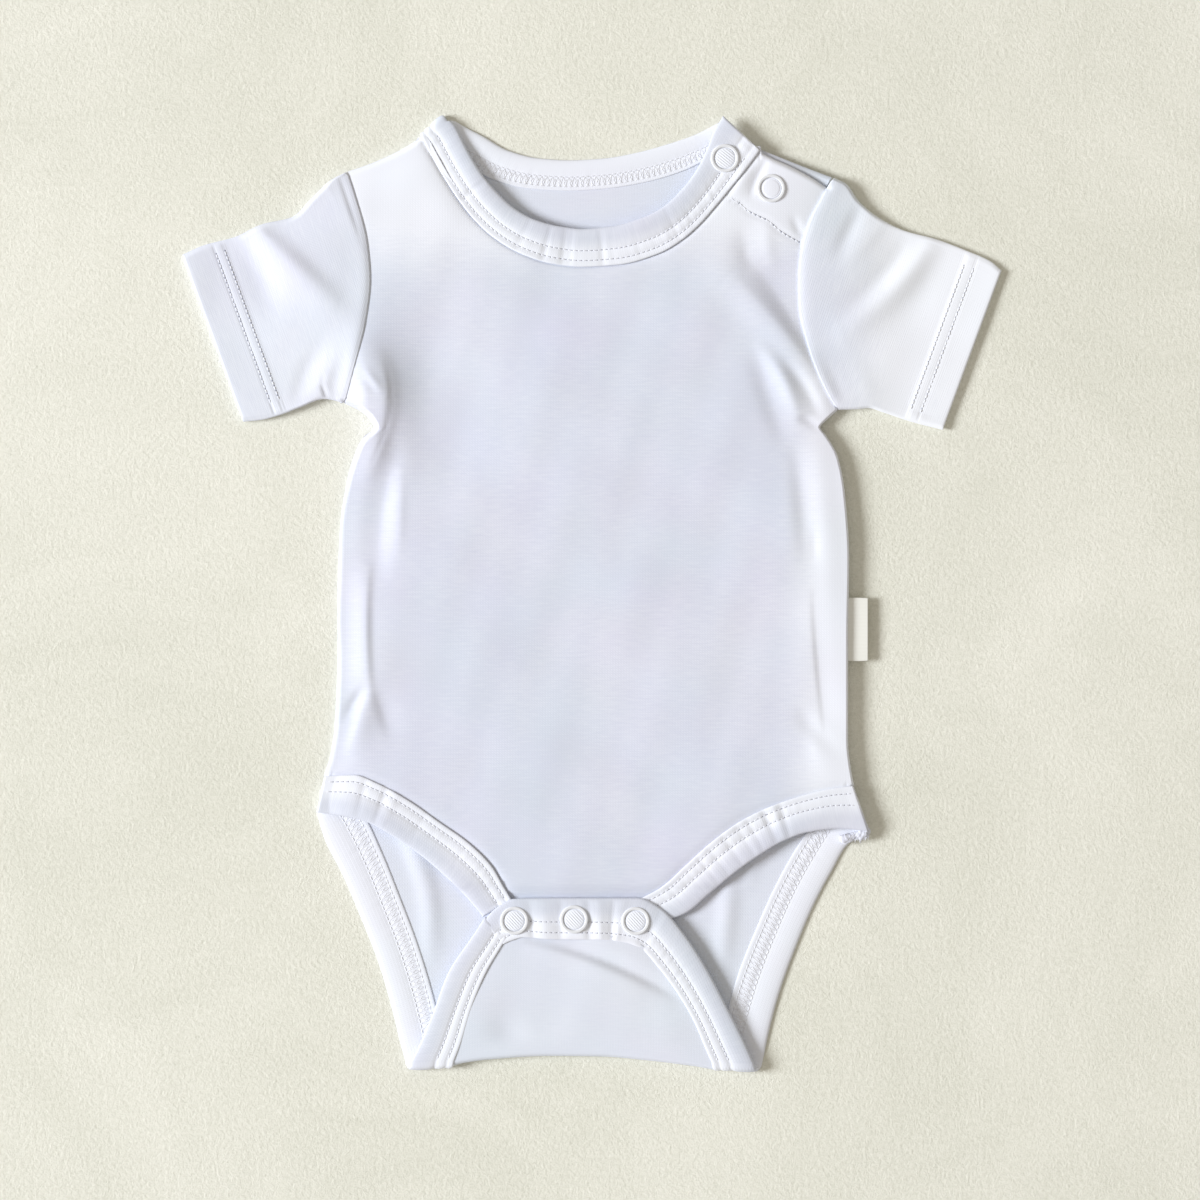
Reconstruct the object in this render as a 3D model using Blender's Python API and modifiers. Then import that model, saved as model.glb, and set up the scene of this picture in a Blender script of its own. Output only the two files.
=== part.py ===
"""Short-sleeved infant bodysuit in fine cotton jersey, laid flat on its back with its front up.

The crotch end of the back panel is turned up over the front and held by three ring snaps, and two more
close the shoulder on the right as seen. Tables are in millimetres, with +X to the right as seen, +Y
towards the neck and +Z up from the surface that the bodysuit lies on.
"""

import math

import bmesh
import bpy
import numpy as np

MM = 0.001

# Cloth and clearances
JERSEY = 1.0
BINDING = 1.6
SEAM_GAP = 0.3
EDGE_GAP = 0.5
LEG_GAP = 0.7
BINDING_GAP = 0.9

# Heights of the outer skin over the surface
LEVEL = 5.0
BINDING_PROUD = 0.4
LOWEST_FRONT_BINDING = 3.5
SEAM_HEIGHT = 1.9
PANEL_SEAM_HEIGHT = 1.65
SHOULDER_FLAP_HEIGHT = 3.6
FLAP_BINDING_HEIGHT = 5.4
NECK_FOLD_HEIGHT = 4.4

# The front layer rolls down to its seams over the first width, and the sleeves' back layer up over the second
FRONT_ROLL = 7.0
BACK_ROLL = 1.9

# The front dips under the snapped flap, and the sleeves thin out at their cuffs
CROTCH_DIP = 2.4
CROTCH_DIP_START = -106.0
CROTCH_DIP_RUN = 7.0
CUFF_DIP = 1.0
CUFF_DIP_START = 128.0
CUFF_DIP_RUN = 16.0

# Ring snaps
RING_RADIUS = 4.65
RING_BAND = 0.72
RING_HALF_HEIGHT = 0.6
STUD_RADIUS = 4.4
STUD_NECK_RADIUS = 2.6
SNAP_SEGMENTS = 16
RING_PROFILE_POINTS = 6

# Blank label in the side seam, which slopes down to the surface
LABEL_IN_X = 95.6
LABEL_OUT_X = 102.1
LABEL_LOW_Y = -25.8
LABEL_HIGH_Y = -2.6
LABEL_IN_HEIGHT = 2.4
LABEL_OUT_HEIGHT = 1.3

# The front's snap strip, hidden under the flap's
CROTCH_STRIP_SKIN = 2.3
CROTCH_STRIP_BOTTOM = -128.0

# How strongly a panel's rows take the shape of its ends towards them
ROW_BEND = 3

# Radius of the turn at the crotch fold, to the outer skin
PANEL_TURN = LEVEL / 2
BINDING_TURN = FLAP_BINDING_HEIGHT / 2

# The neck binding turns over the left shoulder in this direction
NECK_TURN_X = -0.6
NECK_TURN_Y = 0.8
NECK_LOWERS_FROM = 0.8

# Cells of the bindings: across, along the front, round the turn, and along the back or the flap
BINDING_ACROSS = 3
FRONT_BINDING_ALONG = 20
NECK_FRONT_CELLS = 32
NECK_TURN_CELLS = 4
NECK_BACK_CELLS = 18
NECK_ALONG = NECK_FRONT_CELLS + NECK_TURN_CELLS + NECK_BACK_CELLS
LEG_CELLS = 18
LEG_TURN_CELLS = 5
LEFT_FLAP_CELLS = 12
RIGHT_FLAP_CELLS = 22

# Cells of the sleeves, with close ones at their folds, and where they start beyond the armhole
SLEEVE_AROUND = 22
SLEEVE_ALONG = 11
SLEEVE_RIM_SHARES = (0.0, 0.004, 0.016, 0.04, 0.08)
SLEEVE_START = 0.012


def table(columns, *rows):
    """The rows as one array for each named column."""
    return dict(zip(columns.split(), np.array(rows, float).T))


# Edges that run up the garment, as x at each height y
LEFT_SIDE = table(
    "y x",
    (-81.9, -101.9),
    (-77.4, -101.6),
    (-68.5, -99.3),
    (-61.5, -97.0),
    (-49.6, -95.2),
    (-21.9, -94.1),
    (-1.5, -94.1),
    (21.5, -93.3),
    (40.4, -90.7),
    (53.3, -86.7),
    (57.0, -84.4),
    (60.4, -80.6),
    (64.4, -83.0),
    (66.7, -85.9),
    (69.6, -91.9),
)
LEFT_ARMHOLE = table(
    "y x",
    (69.6, -91.9),
    (87.0, -87.0),
    (98.9, -84.1),
    (115.2, -82.2),
    (128.9, -83.3),
    (145.2, -87.4),
    (155.2, -90.7),
)
RIGHT_SIDE = table(
    "y x",
    (-88.5, 102.6),
    (-83.0, 101.6),
    (-75.6, 98.4),
    (-68.5, 96.3),
    (-55.2, 94.8),
    (-18.1, 94.8),
    (12.6, 95.2),
    (35.2, 93.7),
    (49.3, 91.1),
    (58.1, 86.3),
    (60.4, 84.4),
    (63.3, 86.9),
    (67.0, 91.1),
)
RIGHT_ARMHOLE = table(
    "y x",
    (67.0, 91.1),
    (76.3, 85.9),
    (89.6, 80.7),
    (104.8, 77.0),
    (115.2, 76.7),
    (126.3, 77.6),
    (135.6, 80.2),
    (145.2, 85.0),
    (153.0, 89.4),
)

# Edges that run across the garment, as y at each x
LEFT_SHOULDER = table("x y", (-90.7, 155.2), (-82.2, 158.1), (-70.7, 163.3), (-64.3, 167.2))
RIGHT_SHOULDER_FRONT = table("x y", (62.8, 161.9), (66.7, 159.9), (73.3, 157.0), (81.9, 152.4), (87.2, 148.9))
RIGHT_SHOULDER_BACK = table("x y", (55.4, 166.2), (65.2, 162.4), (76.7, 157.8), (89.4, 153.0))
FRONT_LEG_EDGE = table(
    "x y",
    (-99.2, -68.5),
    (-88.0, -68.0),
    (-79.3, -71.1),
    (-68.1, -77.2),
    (-56.7, -85.2),
    (-45.5, -93.2),
    (-37.0, -101.8),
    (-32.8, -109.0),
    (-29.3, -113.7),
    (-15.0, -113.7),
    (2.0, -113.7),
    (16.0, -113.7),
    (25.5, -109.6),
    (34.5, -101.5),
    (44.5, -92.5),
    (55.0, -85.0),
    (66.0, -79.6),
    (78.0, -75.5),
    (88.0, -73.1),
    (96.7, -72.0),
)
FOLD_LINE = table(
    "x y",
    (-68.1, -176.9),
    (-54.8, -176.6),
    (-46.7, -174.6),
    (-37.4, -173.3),
    (-15.6, -172.0),
    (3.0, -172.2),
    (20.4, -173.7),
    (37.0, -175.8),
    (50.4, -177.8),
    (62.0, -177.4),
)
FLAP_TOP = table(
    "x y",
    (-33.0, -131.0),
    (-23.0, -128.4),
    (-5.0, -129.2),
    (8.0, -129.4),
    (14.8, -131.2),
    (18.9, -133.6),
)

# Outlines of the flattened sleeves, from the armhole to the cuff
LEFT_SLEEVE_TOP = table(
    "x y",
    (-90.7, 155.2),
    (-96.7, 152.0),
    (-103.7, 145.4),
    (-111.0, 138.4),
    (-122.2, 135.7),
    (-131.9, 131.1),
    (-144.1, 127.8),
    (-151.6, 124.4),
)
LEFT_SLEEVE_UNDER = table(
    "x y", (-91.9, 69.6), (-98.9, 71.0), (-108.1, 67.8), (-115.6, 65.0), (-122.2, 63.3), (-129.0, 62.6)
)
RIGHT_SLEEVE_TOP = table(
    "x y",
    (89.4, 153.0),
    (94.1, 150.6),
    (98.6, 144.4),
    (105.0, 138.9),
    (115.0, 133.6),
    (127.4, 130.2),
    (138.1, 126.2),
    (147.6, 122.0),
    (151.6, 118.6),
)
RIGHT_SLEEVE_UNDER = table(
    "x y", (91.1, 67.0), (98.1, 67.2), (102.2, 67.6), (107.8, 66.0), (118.1, 62.6), (129.8, 59.6)
)

# Bindings, a row for each section along them: the sewn edge and the folded free edge
NECK_BINDING_FRONT = table(
    "seam_x seam_y free_x free_y",
    (62.2, 163.0, 48.5, 175.6),
    (57.0, 156.0, 44.9, 169.6),
    (52.0, 149.8, 42.4, 163.2),
    (46.4, 143.0, 38.6, 155.6),
    (38.9, 134.6, 31.8, 146.9),
    (32.0, 128.8, 25.6, 141.5),
    (24.4, 124.6, 18.8, 138.0),
    (10.0, 120.6, 7.6, 134.8),
    (-4.0, 119.8, -3.4, 133.8),
    (-15.0, 121.0, -12.6, 134.9),
    (-27.0, 125.0, -21.5, 137.4),
    (-35.5, 130.0, -28.6, 141.4),
    (-43.3, 137.0, -34.7, 147.0),
    (-50.2, 145.8, -40.2, 153.4),
    (-55.9, 154.8, -45.4, 161.8),
    (-60.0, 162.2, -49.2, 169.4),
    (-62.2, 166.4, -52.2, 175.0),
)
NECK_BINDING_BACK = table(
    "seam_x seam_y free_x free_y",
    (-62.2, 166.4, -52.2, 175.0),
    (-55.5, 161.6, -47.3, 172.0),
    (-46.0, 156.6, -40.2, 168.3),
    (-36.0, 152.0, -31.0, 163.1),
    (-23.0, 148.9, -19.5, 160.2),
    (-9.0, 148.1, -8.0, 159.5),
    (5.0, 148.9, 4.5, 160.2),
    (19.0, 151.1, 16.5, 162.3),
    (32.6, 155.0, 28.5, 165.6),
    (43.0, 159.8, 38.1, 168.9),
    (54.6, 166.0, 47.0, 173.4),
)
FRONT_LEG_BINDING_LEFT = table(
    "seam_x seam_y free_x free_y",
    (-99.0, -68.5, -101.9, -81.9),
    (-88.0, -68.0, -91.5, -83.3),
    (-79.3, -71.1, -83.5, -85.3),
    (-68.1, -77.2, -75.0, -89.8),
    (-56.7, -85.2, -64.5, -96.8),
    (-45.5, -93.2, -54.5, -105.2),
    (-37.0, -101.8, -46.7, -112.9),
    (-32.8, -109.0, -43.0, -117.2),
    (-29.6, -114.4, -40.2, -120.6),
)
FRONT_LEG_BINDING_RIGHT = table(
    "seam_x seam_y free_x free_y",
    (96.7, -72.0, 102.6, -88.9),
    (88.0, -73.1, 91.1, -87.8),
    (78.0, -75.5, 80.0, -89.1),
    (66.0, -79.6, 71.0, -92.3),
    (55.0, -85.0, 62.4, -97.3),
    (44.5, -92.5, 53.3, -103.7),
    (34.5, -101.5, 43.4, -112.0),
    (25.5, -109.6, 35.0, -119.0),
    (16.2, -114.6, 28.5, -121.6),
)
BACK_LEG_BINDING_LEFT = table(
    "seam_x seam_y free_x free_y",
    (-99.0, -68.5, -101.9, -81.9),
    (-85.9, -80.4, -98.9, -91.9),
    (-78.1, -95.9, -92.2, -105.2),
    (-71.1, -113.3, -85.6, -120.7),
    (-64.4, -131.1, -79.3, -136.7),
    (-59.3, -147.8, -74.8, -151.5),
    (-55.6, -162.6, -71.1, -166.4),
    (-53.0, -173.7, -69.0, -174.2),
)
BACK_LEG_BINDING_RIGHT = table(
    "seam_x seam_y free_x free_y",
    (96.7, -72.6, 102.6, -89.3),
    (86.5, -80.5, 94.8, -93.7),
    (77.0, -93.0, 89.0, -103.3),
    (68.0, -109.0, 81.9, -116.7),
    (60.8, -125.0, 75.2, -132.6),
    (54.6, -140.5, 69.6, -148.1),
    (50.2, -155.0, 65.9, -161.5),
    (46.2, -174.5, 63.0, -174.9),
)
FLAP_BINDING_LEFT = table(
    "seam_x seam_y free_x free_y",
    (-51.0, -173.7, -67.0, -174.2),
    (-48.6, -167.6, -64.6, -169.6),
    (-44.3, -153.4, -58.3, -154.6),
    (-38.9, -140.6, -53.3, -141.4),
    (-33.6, -131.6, -41.6, -124.0),
)
FLAP_BINDING_RIGHT = table(
    "seam_x seam_y free_x free_y",
    (44.4, -174.5, 60.0, -174.9),
    (42.0, -169.2, 56.3, -166.7),
    (37.6, -159.0, 49.6, -153.3),
    (31.4, -148.4, 42.2, -139.3),
    (24.4, -139.0, 33.7, -126.3),
    (18.2, -132.4, 25.8, -117.6),
    (12.5, -130.0, 17.0, -113.5),
    (3.3, -128.9, 3.0, -113.5),
    (-15.6, -128.7, -15.6, -113.5),
    (-25.0, -128.0, -28.3, -113.7),
    (-30.0, -129.3, -36.4, -117.9),
    (-32.9, -130.6, -40.6, -123.0),
)
FLAP_SIDE_RIGHT = {name: column[:6] for name, column in FLAP_BINDING_RIGHT.items()}
SHOULDER_FACING = table(
    "seam_x seam_y free_x free_y",
    (53.5, 144.4, 62.8, 161.6),
    (61.0, 138.4, 70.5, 157.4),
    (69.4, 133.2, 78.5, 153.4),
    (76.6, 129.4, 85.6, 148.4),
)
CROTCH_STRIP_TOP = table(
    "x y", (-39.5, -122.2), (-29.0, -116.1), (-27.0, -114.3), (14.0, -114.3), (16.5, -115.8), (27.5, -122.4)
)

# Rows of the body panels, as the height of each one's two ends, and columns as shares of the panel's width
FRONT_ROWS = table(
    "cell left_y right_y",
    (0, -67.6, -71.1),
    (17, 54.0, 53.0),
    (18, 60.4, 60.4),
    (19, 66.0, 64.5),
    (20, 69.6, 67.0),
    (32, 149.6, 143.3),
    (33, 152.2, 145.9),
    (34, 154.0, 147.7),
    (35, 154.9, 148.6),
    (36, 155.2, 148.9),
)
FRONT_COLUMNS = table(
    "cell low_share top_share",
    (0, 0.0, 0.0),
    (1, 0.0015, 0.0017),
    (2, 0.0061, 0.0067),
    (3, 0.0153, 0.0168),
    (4, 0.0286, 0.0315),
    (9, 0.1924, 0.1484),
    (14, 0.3562, 0.3462),
    (22, 0.5876, 0.6628),
    (27, 0.7795, 0.8606),
    (32, 0.9714, 0.9685),
    (33, 0.9847, 0.9832),
    (34, 0.9939, 0.9933),
    (35, 0.9985, 0.9983),
    (36, 1.0, 1.0),
)
BACK_ROWS = table(
    "cell left_y right_y",
    (0, 155.2, 153.0),
    (9, 69.6, 67.0),
    (10, 66.0, 64.5),
    (11, 60.4, 60.4),
    (12, 54.0, 53.0),
    (20, -67.3, -71.3),
)
BACK_COLUMNS = table(
    "cell low_share top_share",
    (0, 0.0, 0.0),
    (4, 0.2, 0.1466),
    (15, 0.8, 0.8112),
    (18, 1.0, 1.0),
)
BACK_LEG_ROWS = 9
BACK_TURN_ROWS = 5
FLAP_ROWS = 6
FRONT_ACROSS = int(FRONT_COLUMNS["cell"][-1])
FRONT_UP = int(FRONT_ROWS["cell"][-1])
BACK_ACROSS = int(BACK_COLUMNS["cell"][-1])
BACK_BODY_ROWS = int(BACK_ROWS["cell"][-1])
BACK_DOWN = BACK_BODY_ROWS + BACK_LEG_ROWS + BACK_TURN_ROWS + FLAP_ROWS

# Largest folds of the front layer: its ridges are raised and its troughs are sunk by rise
FOLDS = table(
    "x0 y0 x1 y1 x2 y2 half_width rise",
    (-124.8, 134.4, -111.9, 120.7, -91.5, 100.4, 4.6, 1.5),
    (-119.3, 135.6, -106.3, 120.7, -90.4, 104.8, 3.6, -1.1),
    (-133.3, 130.0, -126.7, 107.8, -122.2, 96.7, 3.0, -0.7),
    (-108.1, 70.7, -100.7, 83.7, -91.5, 91.1, 4.0, 1.1),
    (-85.9, 150.4, -76.7, 137.4, -78.5, 126.3, 4.0, -1.1),
    (103.0, 139.3, 95.6, 131.9, 86.1, 124.3, 4.6, 1.3),
    (94.7, 143.0, 90.0, 137.3, 85.3, 130.9, 3.6, -1.1),
    (121.9, 130.4, 110.4, 114.4, 90.0, 97.0, 3.4, 1.8),
    (128.1, 127.0, 117.8, 113.3, 101.0, 96.5, 5.0, -1.0),
    (43.3, 116.3, 60.0, 97.8, 83.9, 73.5, 4.4, 1.8),
    (50.0, 127.0, 68.1, 105.6, 79.7, 87.6, 4.6, -1.0),
    (59.3, 93.7, 77.0, 54.1, 83.7, 28.1, 5.0, 1.3),
    (70.0, 83.7, 78.3, 71.0, 82.6, 67.0, 3.0, -0.9),
    (81.1, -4.4, 81.9, -25.6, 84.4, -46.7, 3.4, -1.2),
    (-79.3, 89.3, -73.6, 69.7, -79.3, 48.5, 4.6, -1.4),
    (-79.3, 48.5, -83.4, 5.5, -82.6, -36.7, 4.6, -1.5),
    (-73.8, 50.5, -73.6, 30.0, -75.3, 13.2, 4.4, 1.0),
    (-81.1, -37.6, -84.3, -48.6, -88.0, -58.5, 3.4, -1.1),
    (-80.4, -39.5, -78.1, -45.9, -73.8, -51.7, 3.2, -0.9),
)
FLAP_FOLDS = table(
    "x0 y0 x1 y1 x2 y2 half_width rise",
    (-22.6, -131.0, 3.3, -136.6, 29.6, -149.8, 3.4, -1.1),
    (-30.0, -160.0, -27.0, -166.0, -33.0, -171.0, 6.0, -0.6),
)

# Middle of each snap
SNAPS = {
    "crotch_left": (-28.7, -121.8),
    "crotch_middle": (-6.6, -121.3),
    "crotch_right": (16.1, -121.9),
    "neck_tab": (49.1, 159.9),
    "shoulder": (66.2, 148.8),
}


def smooth(knots, values, at):
    """A cubic through each value at its knot that never runs past the values on either side."""
    chords = np.diff(values) / np.diff(knots)
    product = chords[1:] * chords[:-1]
    total = chords[1:] + chords[:-1]
    inner = np.where(product > 0, 2 * product / np.where(product > 0, total, 1.0), 0.0)
    slopes = np.concatenate((chords[:1], inner, chords[-1:]))
    at = np.clip(at, knots[0], knots[-1])
    cell = np.clip(np.searchsorted(knots, at, side="right") - 1, 0, len(knots) - 2)
    run = knots[cell + 1] - knots[cell]
    t = (at - knots[cell]) / run
    start = (1 + 2 * t) * (1 - t) ** 2 * values[cell] + t * (1 - t) ** 2 * run * slopes[cell]
    end = t**2 * (3 - 2 * t) * values[cell + 1] + t**2 * (t - 1) * run * slopes[cell + 1]
    return start + end


def x_at(edge, y):
    """Where an edge that runs up the garment is at the height y."""
    return smooth(edge["y"], edge["x"], y)


def y_at(edge, x):
    """How high an edge that runs across the garment is at x."""
    return smooth(edge["x"], edge["y"], x)


def along(edge, t):
    """The point at the share t of an outline, by its chord length."""
    chords = np.hypot(np.diff(edge["x"]), np.diff(edge["y"]))
    share = np.concatenate(([0.0], np.cumsum(chords))) / chords.sum()
    return smooth(share, edge["x"], t), smooth(share, edge["y"], t)


def ease(t):
    """From 0 to 1 with level ends."""
    t = np.clip(t, 0.0, 1.0)
    return t * t * (3 - 2 * t)


def seam_line(edge, height, samples=60):
    """Points x, y and skin height along one seam or folded edge that the front layer rolls down to."""
    x, y = along(edge, np.linspace(0, 1, samples))
    return np.stack([x, y, np.full(samples, height)], axis=1)


BODY_SEAMS = [seam_line(edge, PANEL_SEAM_HEIGHT) for edge in (LEFT_SIDE, RIGHT_SIDE, LEFT_SHOULDER)]
SLEEVE_FOLDS = [
    seam_line(edge, SEAM_HEIGHT)
    for edge in (LEFT_SLEEVE_TOP, LEFT_SLEEVE_UNDER, RIGHT_SLEEVE_TOP, RIGHT_SLEEVE_UNDER)
]
FRONT_EDGES = BODY_SEAMS + SLEEVE_FOLDS + [seam_line(RIGHT_SHOULDER_FRONT, SHOULDER_FLAP_HEIGHT)]


def nearest_edge(edges, x, y):
    """The distance to the nearest of these edges, and the skin height there."""
    best = np.full(np.shape(x), np.inf)
    height = np.full(np.shape(x), SEAM_HEIGHT)
    for line in edges:
        for (ax, ay, az), (bx, by, bz) in zip(line[:-1], line[1:]):
            t = np.clip(((x - ax) * (bx - ax) + (y - ay) * (by - ay)) / ((bx - ax) ** 2 + (by - ay) ** 2), 0, 1)
            away = np.hypot(x - ax - t * (bx - ax), y - ay - t * (by - ay))
            height = np.where(away < best, az + t * (bz - az), height)
            best = np.minimum(away, best)
    return best, height


def fold_rise(folds, x, y, samples=12):
    """The sum of the folds: each a bell across its curved line that fades to both its ends."""
    total = np.zeros(np.shape(x))
    t = np.linspace(0, 1, samples)
    for x0, y0, x1, y1, x2, y2, half_width, rise in zip(*folds.values()):
        line_x = (1 - t) ** 2 * x0 + 2 * t * (1 - t) * x1 + t**2 * x2
        line_y = (1 - t) ** 2 * y0 + 2 * t * (1 - t) * y1 + t**2 * y2
        bells = [
            np.exp(-((x - px) ** 2 + (y - py) ** 2) / half_width**2) * math.sin(math.pi * share) ** 0.5
            for px, py, share in zip(line_x[1:-1], line_y[1:-1], t[1:-1])
        ]
        total += rise * np.max(bells, axis=0)
    return total


def front_skin(x, y):
    """Height of the outer skin of the front layer, on the body and on both sleeves."""
    away, seam = nearest_edge(FRONT_EDGES, x, y)
    share = np.clip(away / FRONT_ROLL, 0, 1)
    z = seam + (LEVEL - seam) * np.sqrt(1 - (1 - share) ** 2)
    z += ease(away / FRONT_ROLL) * fold_rise(FOLDS, x, y)
    z -= CROTCH_DIP * ease((CROTCH_DIP_START - y) / CROTCH_DIP_RUN)
    z -= CUFF_DIP * ease((np.abs(x) - CUFF_DIP_START) / CUFF_DIP_RUN) * share
    return z


def back_skin(x, y):
    """Height of the outer skin of a sleeve's back layer, which lies flat and rolls up to its folds."""
    away, seam = nearest_edge(SLEEVE_FOLDS, x, y)
    share = np.clip(away / BACK_ROLL, 0, 1)
    return seam - seam * np.sqrt(1 - (1 - share) ** 2)


def binding_skin(x, y):
    """Height of the outer skin of a binding on the front layer."""
    return np.maximum(front_skin(x, y) + BINDING_PROUD, LOWEST_FRONT_BINDING)


def stations(rows, column, cell):
    """One column of a table of rows or columns, read at these cells."""
    return np.interp(cell, rows["cell"], rows[column])


def principled(name, srgb, roughness, metallic=0.0):
    """A plain finish whose colour is given as 0 to 255 sRGB."""
    material = bpy.data.materials.new(name)
    material.use_nodes = True
    shader = material.node_tree.nodes["Principled BSDF"]
    levels = [level / 255 for level in srgb]
    linear = [c / 12.92 if c <= 0.04045 else ((c + 0.055) / 1.055) ** 2.4 for c in levels]
    shader.inputs["Base Color"].default_value = (*linear, 1.0)
    shader.inputs["Roughness"].default_value = roughness
    shader.inputs["Metallic"].default_value = metallic
    material.diffuse_color = (*linear, 1.0)
    return material


def cloth(name, cells_across, cells_along, skin, thickness, material, tube=False):
    """A grid bent to its outer skin in millimetres, skin(u, v), and given its wall on the inner side."""
    mesh = bpy.data.meshes.new(name)
    grid = bmesh.new()
    bmesh.ops.create_grid(grid, x_segments=cells_across, y_segments=cells_along, size=0.5)
    grid.to_mesh(mesh)
    grid.free()
    flat = np.empty(len(mesh.vertices) * 3)
    mesh.vertices.foreach_get("co", flat)
    u, v, _ = (flat.reshape(-1, 3) + 0.5).T
    mesh.vertices.foreach_set("co", (np.stack(skin(u, v), axis=1) * MM).ravel())
    if tube:
        seam = bmesh.new()
        seam.from_mesh(mesh)
        bmesh.ops.remove_doubles(seam, verts=seam.verts, dist=1e-6)
        seam.to_mesh(mesh)
        seam.free()
    mesh.shade_smooth()
    mesh.materials.append(material)
    piece = bpy.data.objects.new(name, mesh)
    garment.objects.link(piece)
    wall = piece.modifiers.new("wall", "SOLIDIFY")
    wall.thickness = thickness * MM
    wall.offset = -1.0
    wall.use_even_offset = True
    wall.use_quality_normals = True
    return piece


def sections(rows, across, t):
    """The point at the share across (sewn edge 0, free edge 1) of the section at the share t of a binding."""
    mid_x = (rows["seam_x"] + rows["free_x"]) / 2
    mid_y = (rows["seam_y"] + rows["free_y"]) / 2
    chords = np.hypot(np.diff(mid_x), np.diff(mid_y))
    knots = np.concatenate(([0.0], np.cumsum(chords))) / chords.sum()
    seam_x, seam_y, free_x, free_y = (smooth(knots, column, t) for column in rows.values())
    return seam_x + (free_x - seam_x) * across, seam_y + (free_y - seam_y) * across


def left_edge(y):
    """The left edge of a body panel: its side seam, then its armhole."""
    armhole = x_at(LEFT_ARMHOLE, y)
    return np.where(y > LEFT_ARMHOLE["y"][0], armhole, x_at(LEFT_SIDE, y))


def right_edge(y):
    """The right edge of a body panel: its side seam, then its armhole."""
    armhole = x_at(RIGHT_ARMHOLE, y)
    return np.where(y > RIGHT_ARMHOLE["y"][0], armhole, x_at(RIGHT_SIDE, y))


def neck_edge(rows, x):
    """Height of a neck binding's sewn edge at x, for one half of the binding."""
    order = np.argsort(rows["seam_x"])
    return smooth(rows["seam_x"][order], rows["seam_y"][order], x)


def front_top(x):
    """The front's upper edge: shoulder seam, neckline and the folded edge of the shoulder flap."""
    neckline = neck_edge(NECK_BINDING_FRONT, x) - BINDING_GAP
    y = np.where(x < LEFT_SHOULDER["x"][-1], y_at(LEFT_SHOULDER, x), neckline)
    return np.where(x > RIGHT_SHOULDER_FRONT["x"][0] - 0.1, y_at(RIGHT_SHOULDER_FRONT, x), y)


def bent_rows(left_y, right_y, across, low_y, top_y):
    """Rows that are straight in mid panel and bend more and more towards the shapes of its two ends."""
    straight = left_y + (right_y - left_y) * across
    low = left_y.min() + (right_y.min() - left_y.min()) * across
    top = left_y.max() + (right_y.max() - left_y.max()) * across
    share = (straight - low) / (top - low)
    return straight + (top_y - top) * share**ROW_BEND + (low_y - low) * (1 - share) ** ROW_BEND


def front_panel_skin(u, v):
    """Columns run up from the leg edge to the neckline, and rows between the side edges."""
    left_y = stations(FRONT_ROWS, "left_y", v * FRONT_UP)
    right_y = stations(FRONT_ROWS, "right_y", v * FRONT_UP)
    low_share = stations(FRONT_COLUMNS, "low_share", u * FRONT_ACROSS)
    top_share = stations(FRONT_COLUMNS, "top_share", u * FRONT_ACROSS)
    share = low_share + (top_share - low_share) * (left_y - left_y.min()) / np.ptp(left_y)
    low_left, low_right = FRONT_LEG_EDGE["x"][0], FRONT_LEG_EDGE["x"][-1]
    top_left, top_right = LEFT_SHOULDER["x"][0], RIGHT_SHOULDER_FRONT["x"][-1]
    low_y = y_at(FRONT_LEG_EDGE, low_left + (low_right - low_left) * low_share) + BINDING_GAP
    top_y = front_top(top_left + (top_right - top_left) * top_share)
    y = bent_rows(left_y, right_y, share, low_y, top_y)
    x = left_edge(left_y) + (right_edge(right_y) - left_edge(left_y)) * share
    return x, y, front_skin(x, y)


def back_top(x):
    """The back's upper edge: shoulder seam, neckline and the underlap of the snapped shoulder."""
    neckline = neck_edge(NECK_BINDING_BACK, x) - BINDING_GAP
    y = np.where(x < LEFT_SHOULDER["x"][-1], y_at(LEFT_SHOULDER, x), neckline)
    return np.where(x > RIGHT_SHOULDER_BACK["x"][0] - 0.1, y_at(RIGHT_SHOULDER_BACK, x), y)


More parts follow.
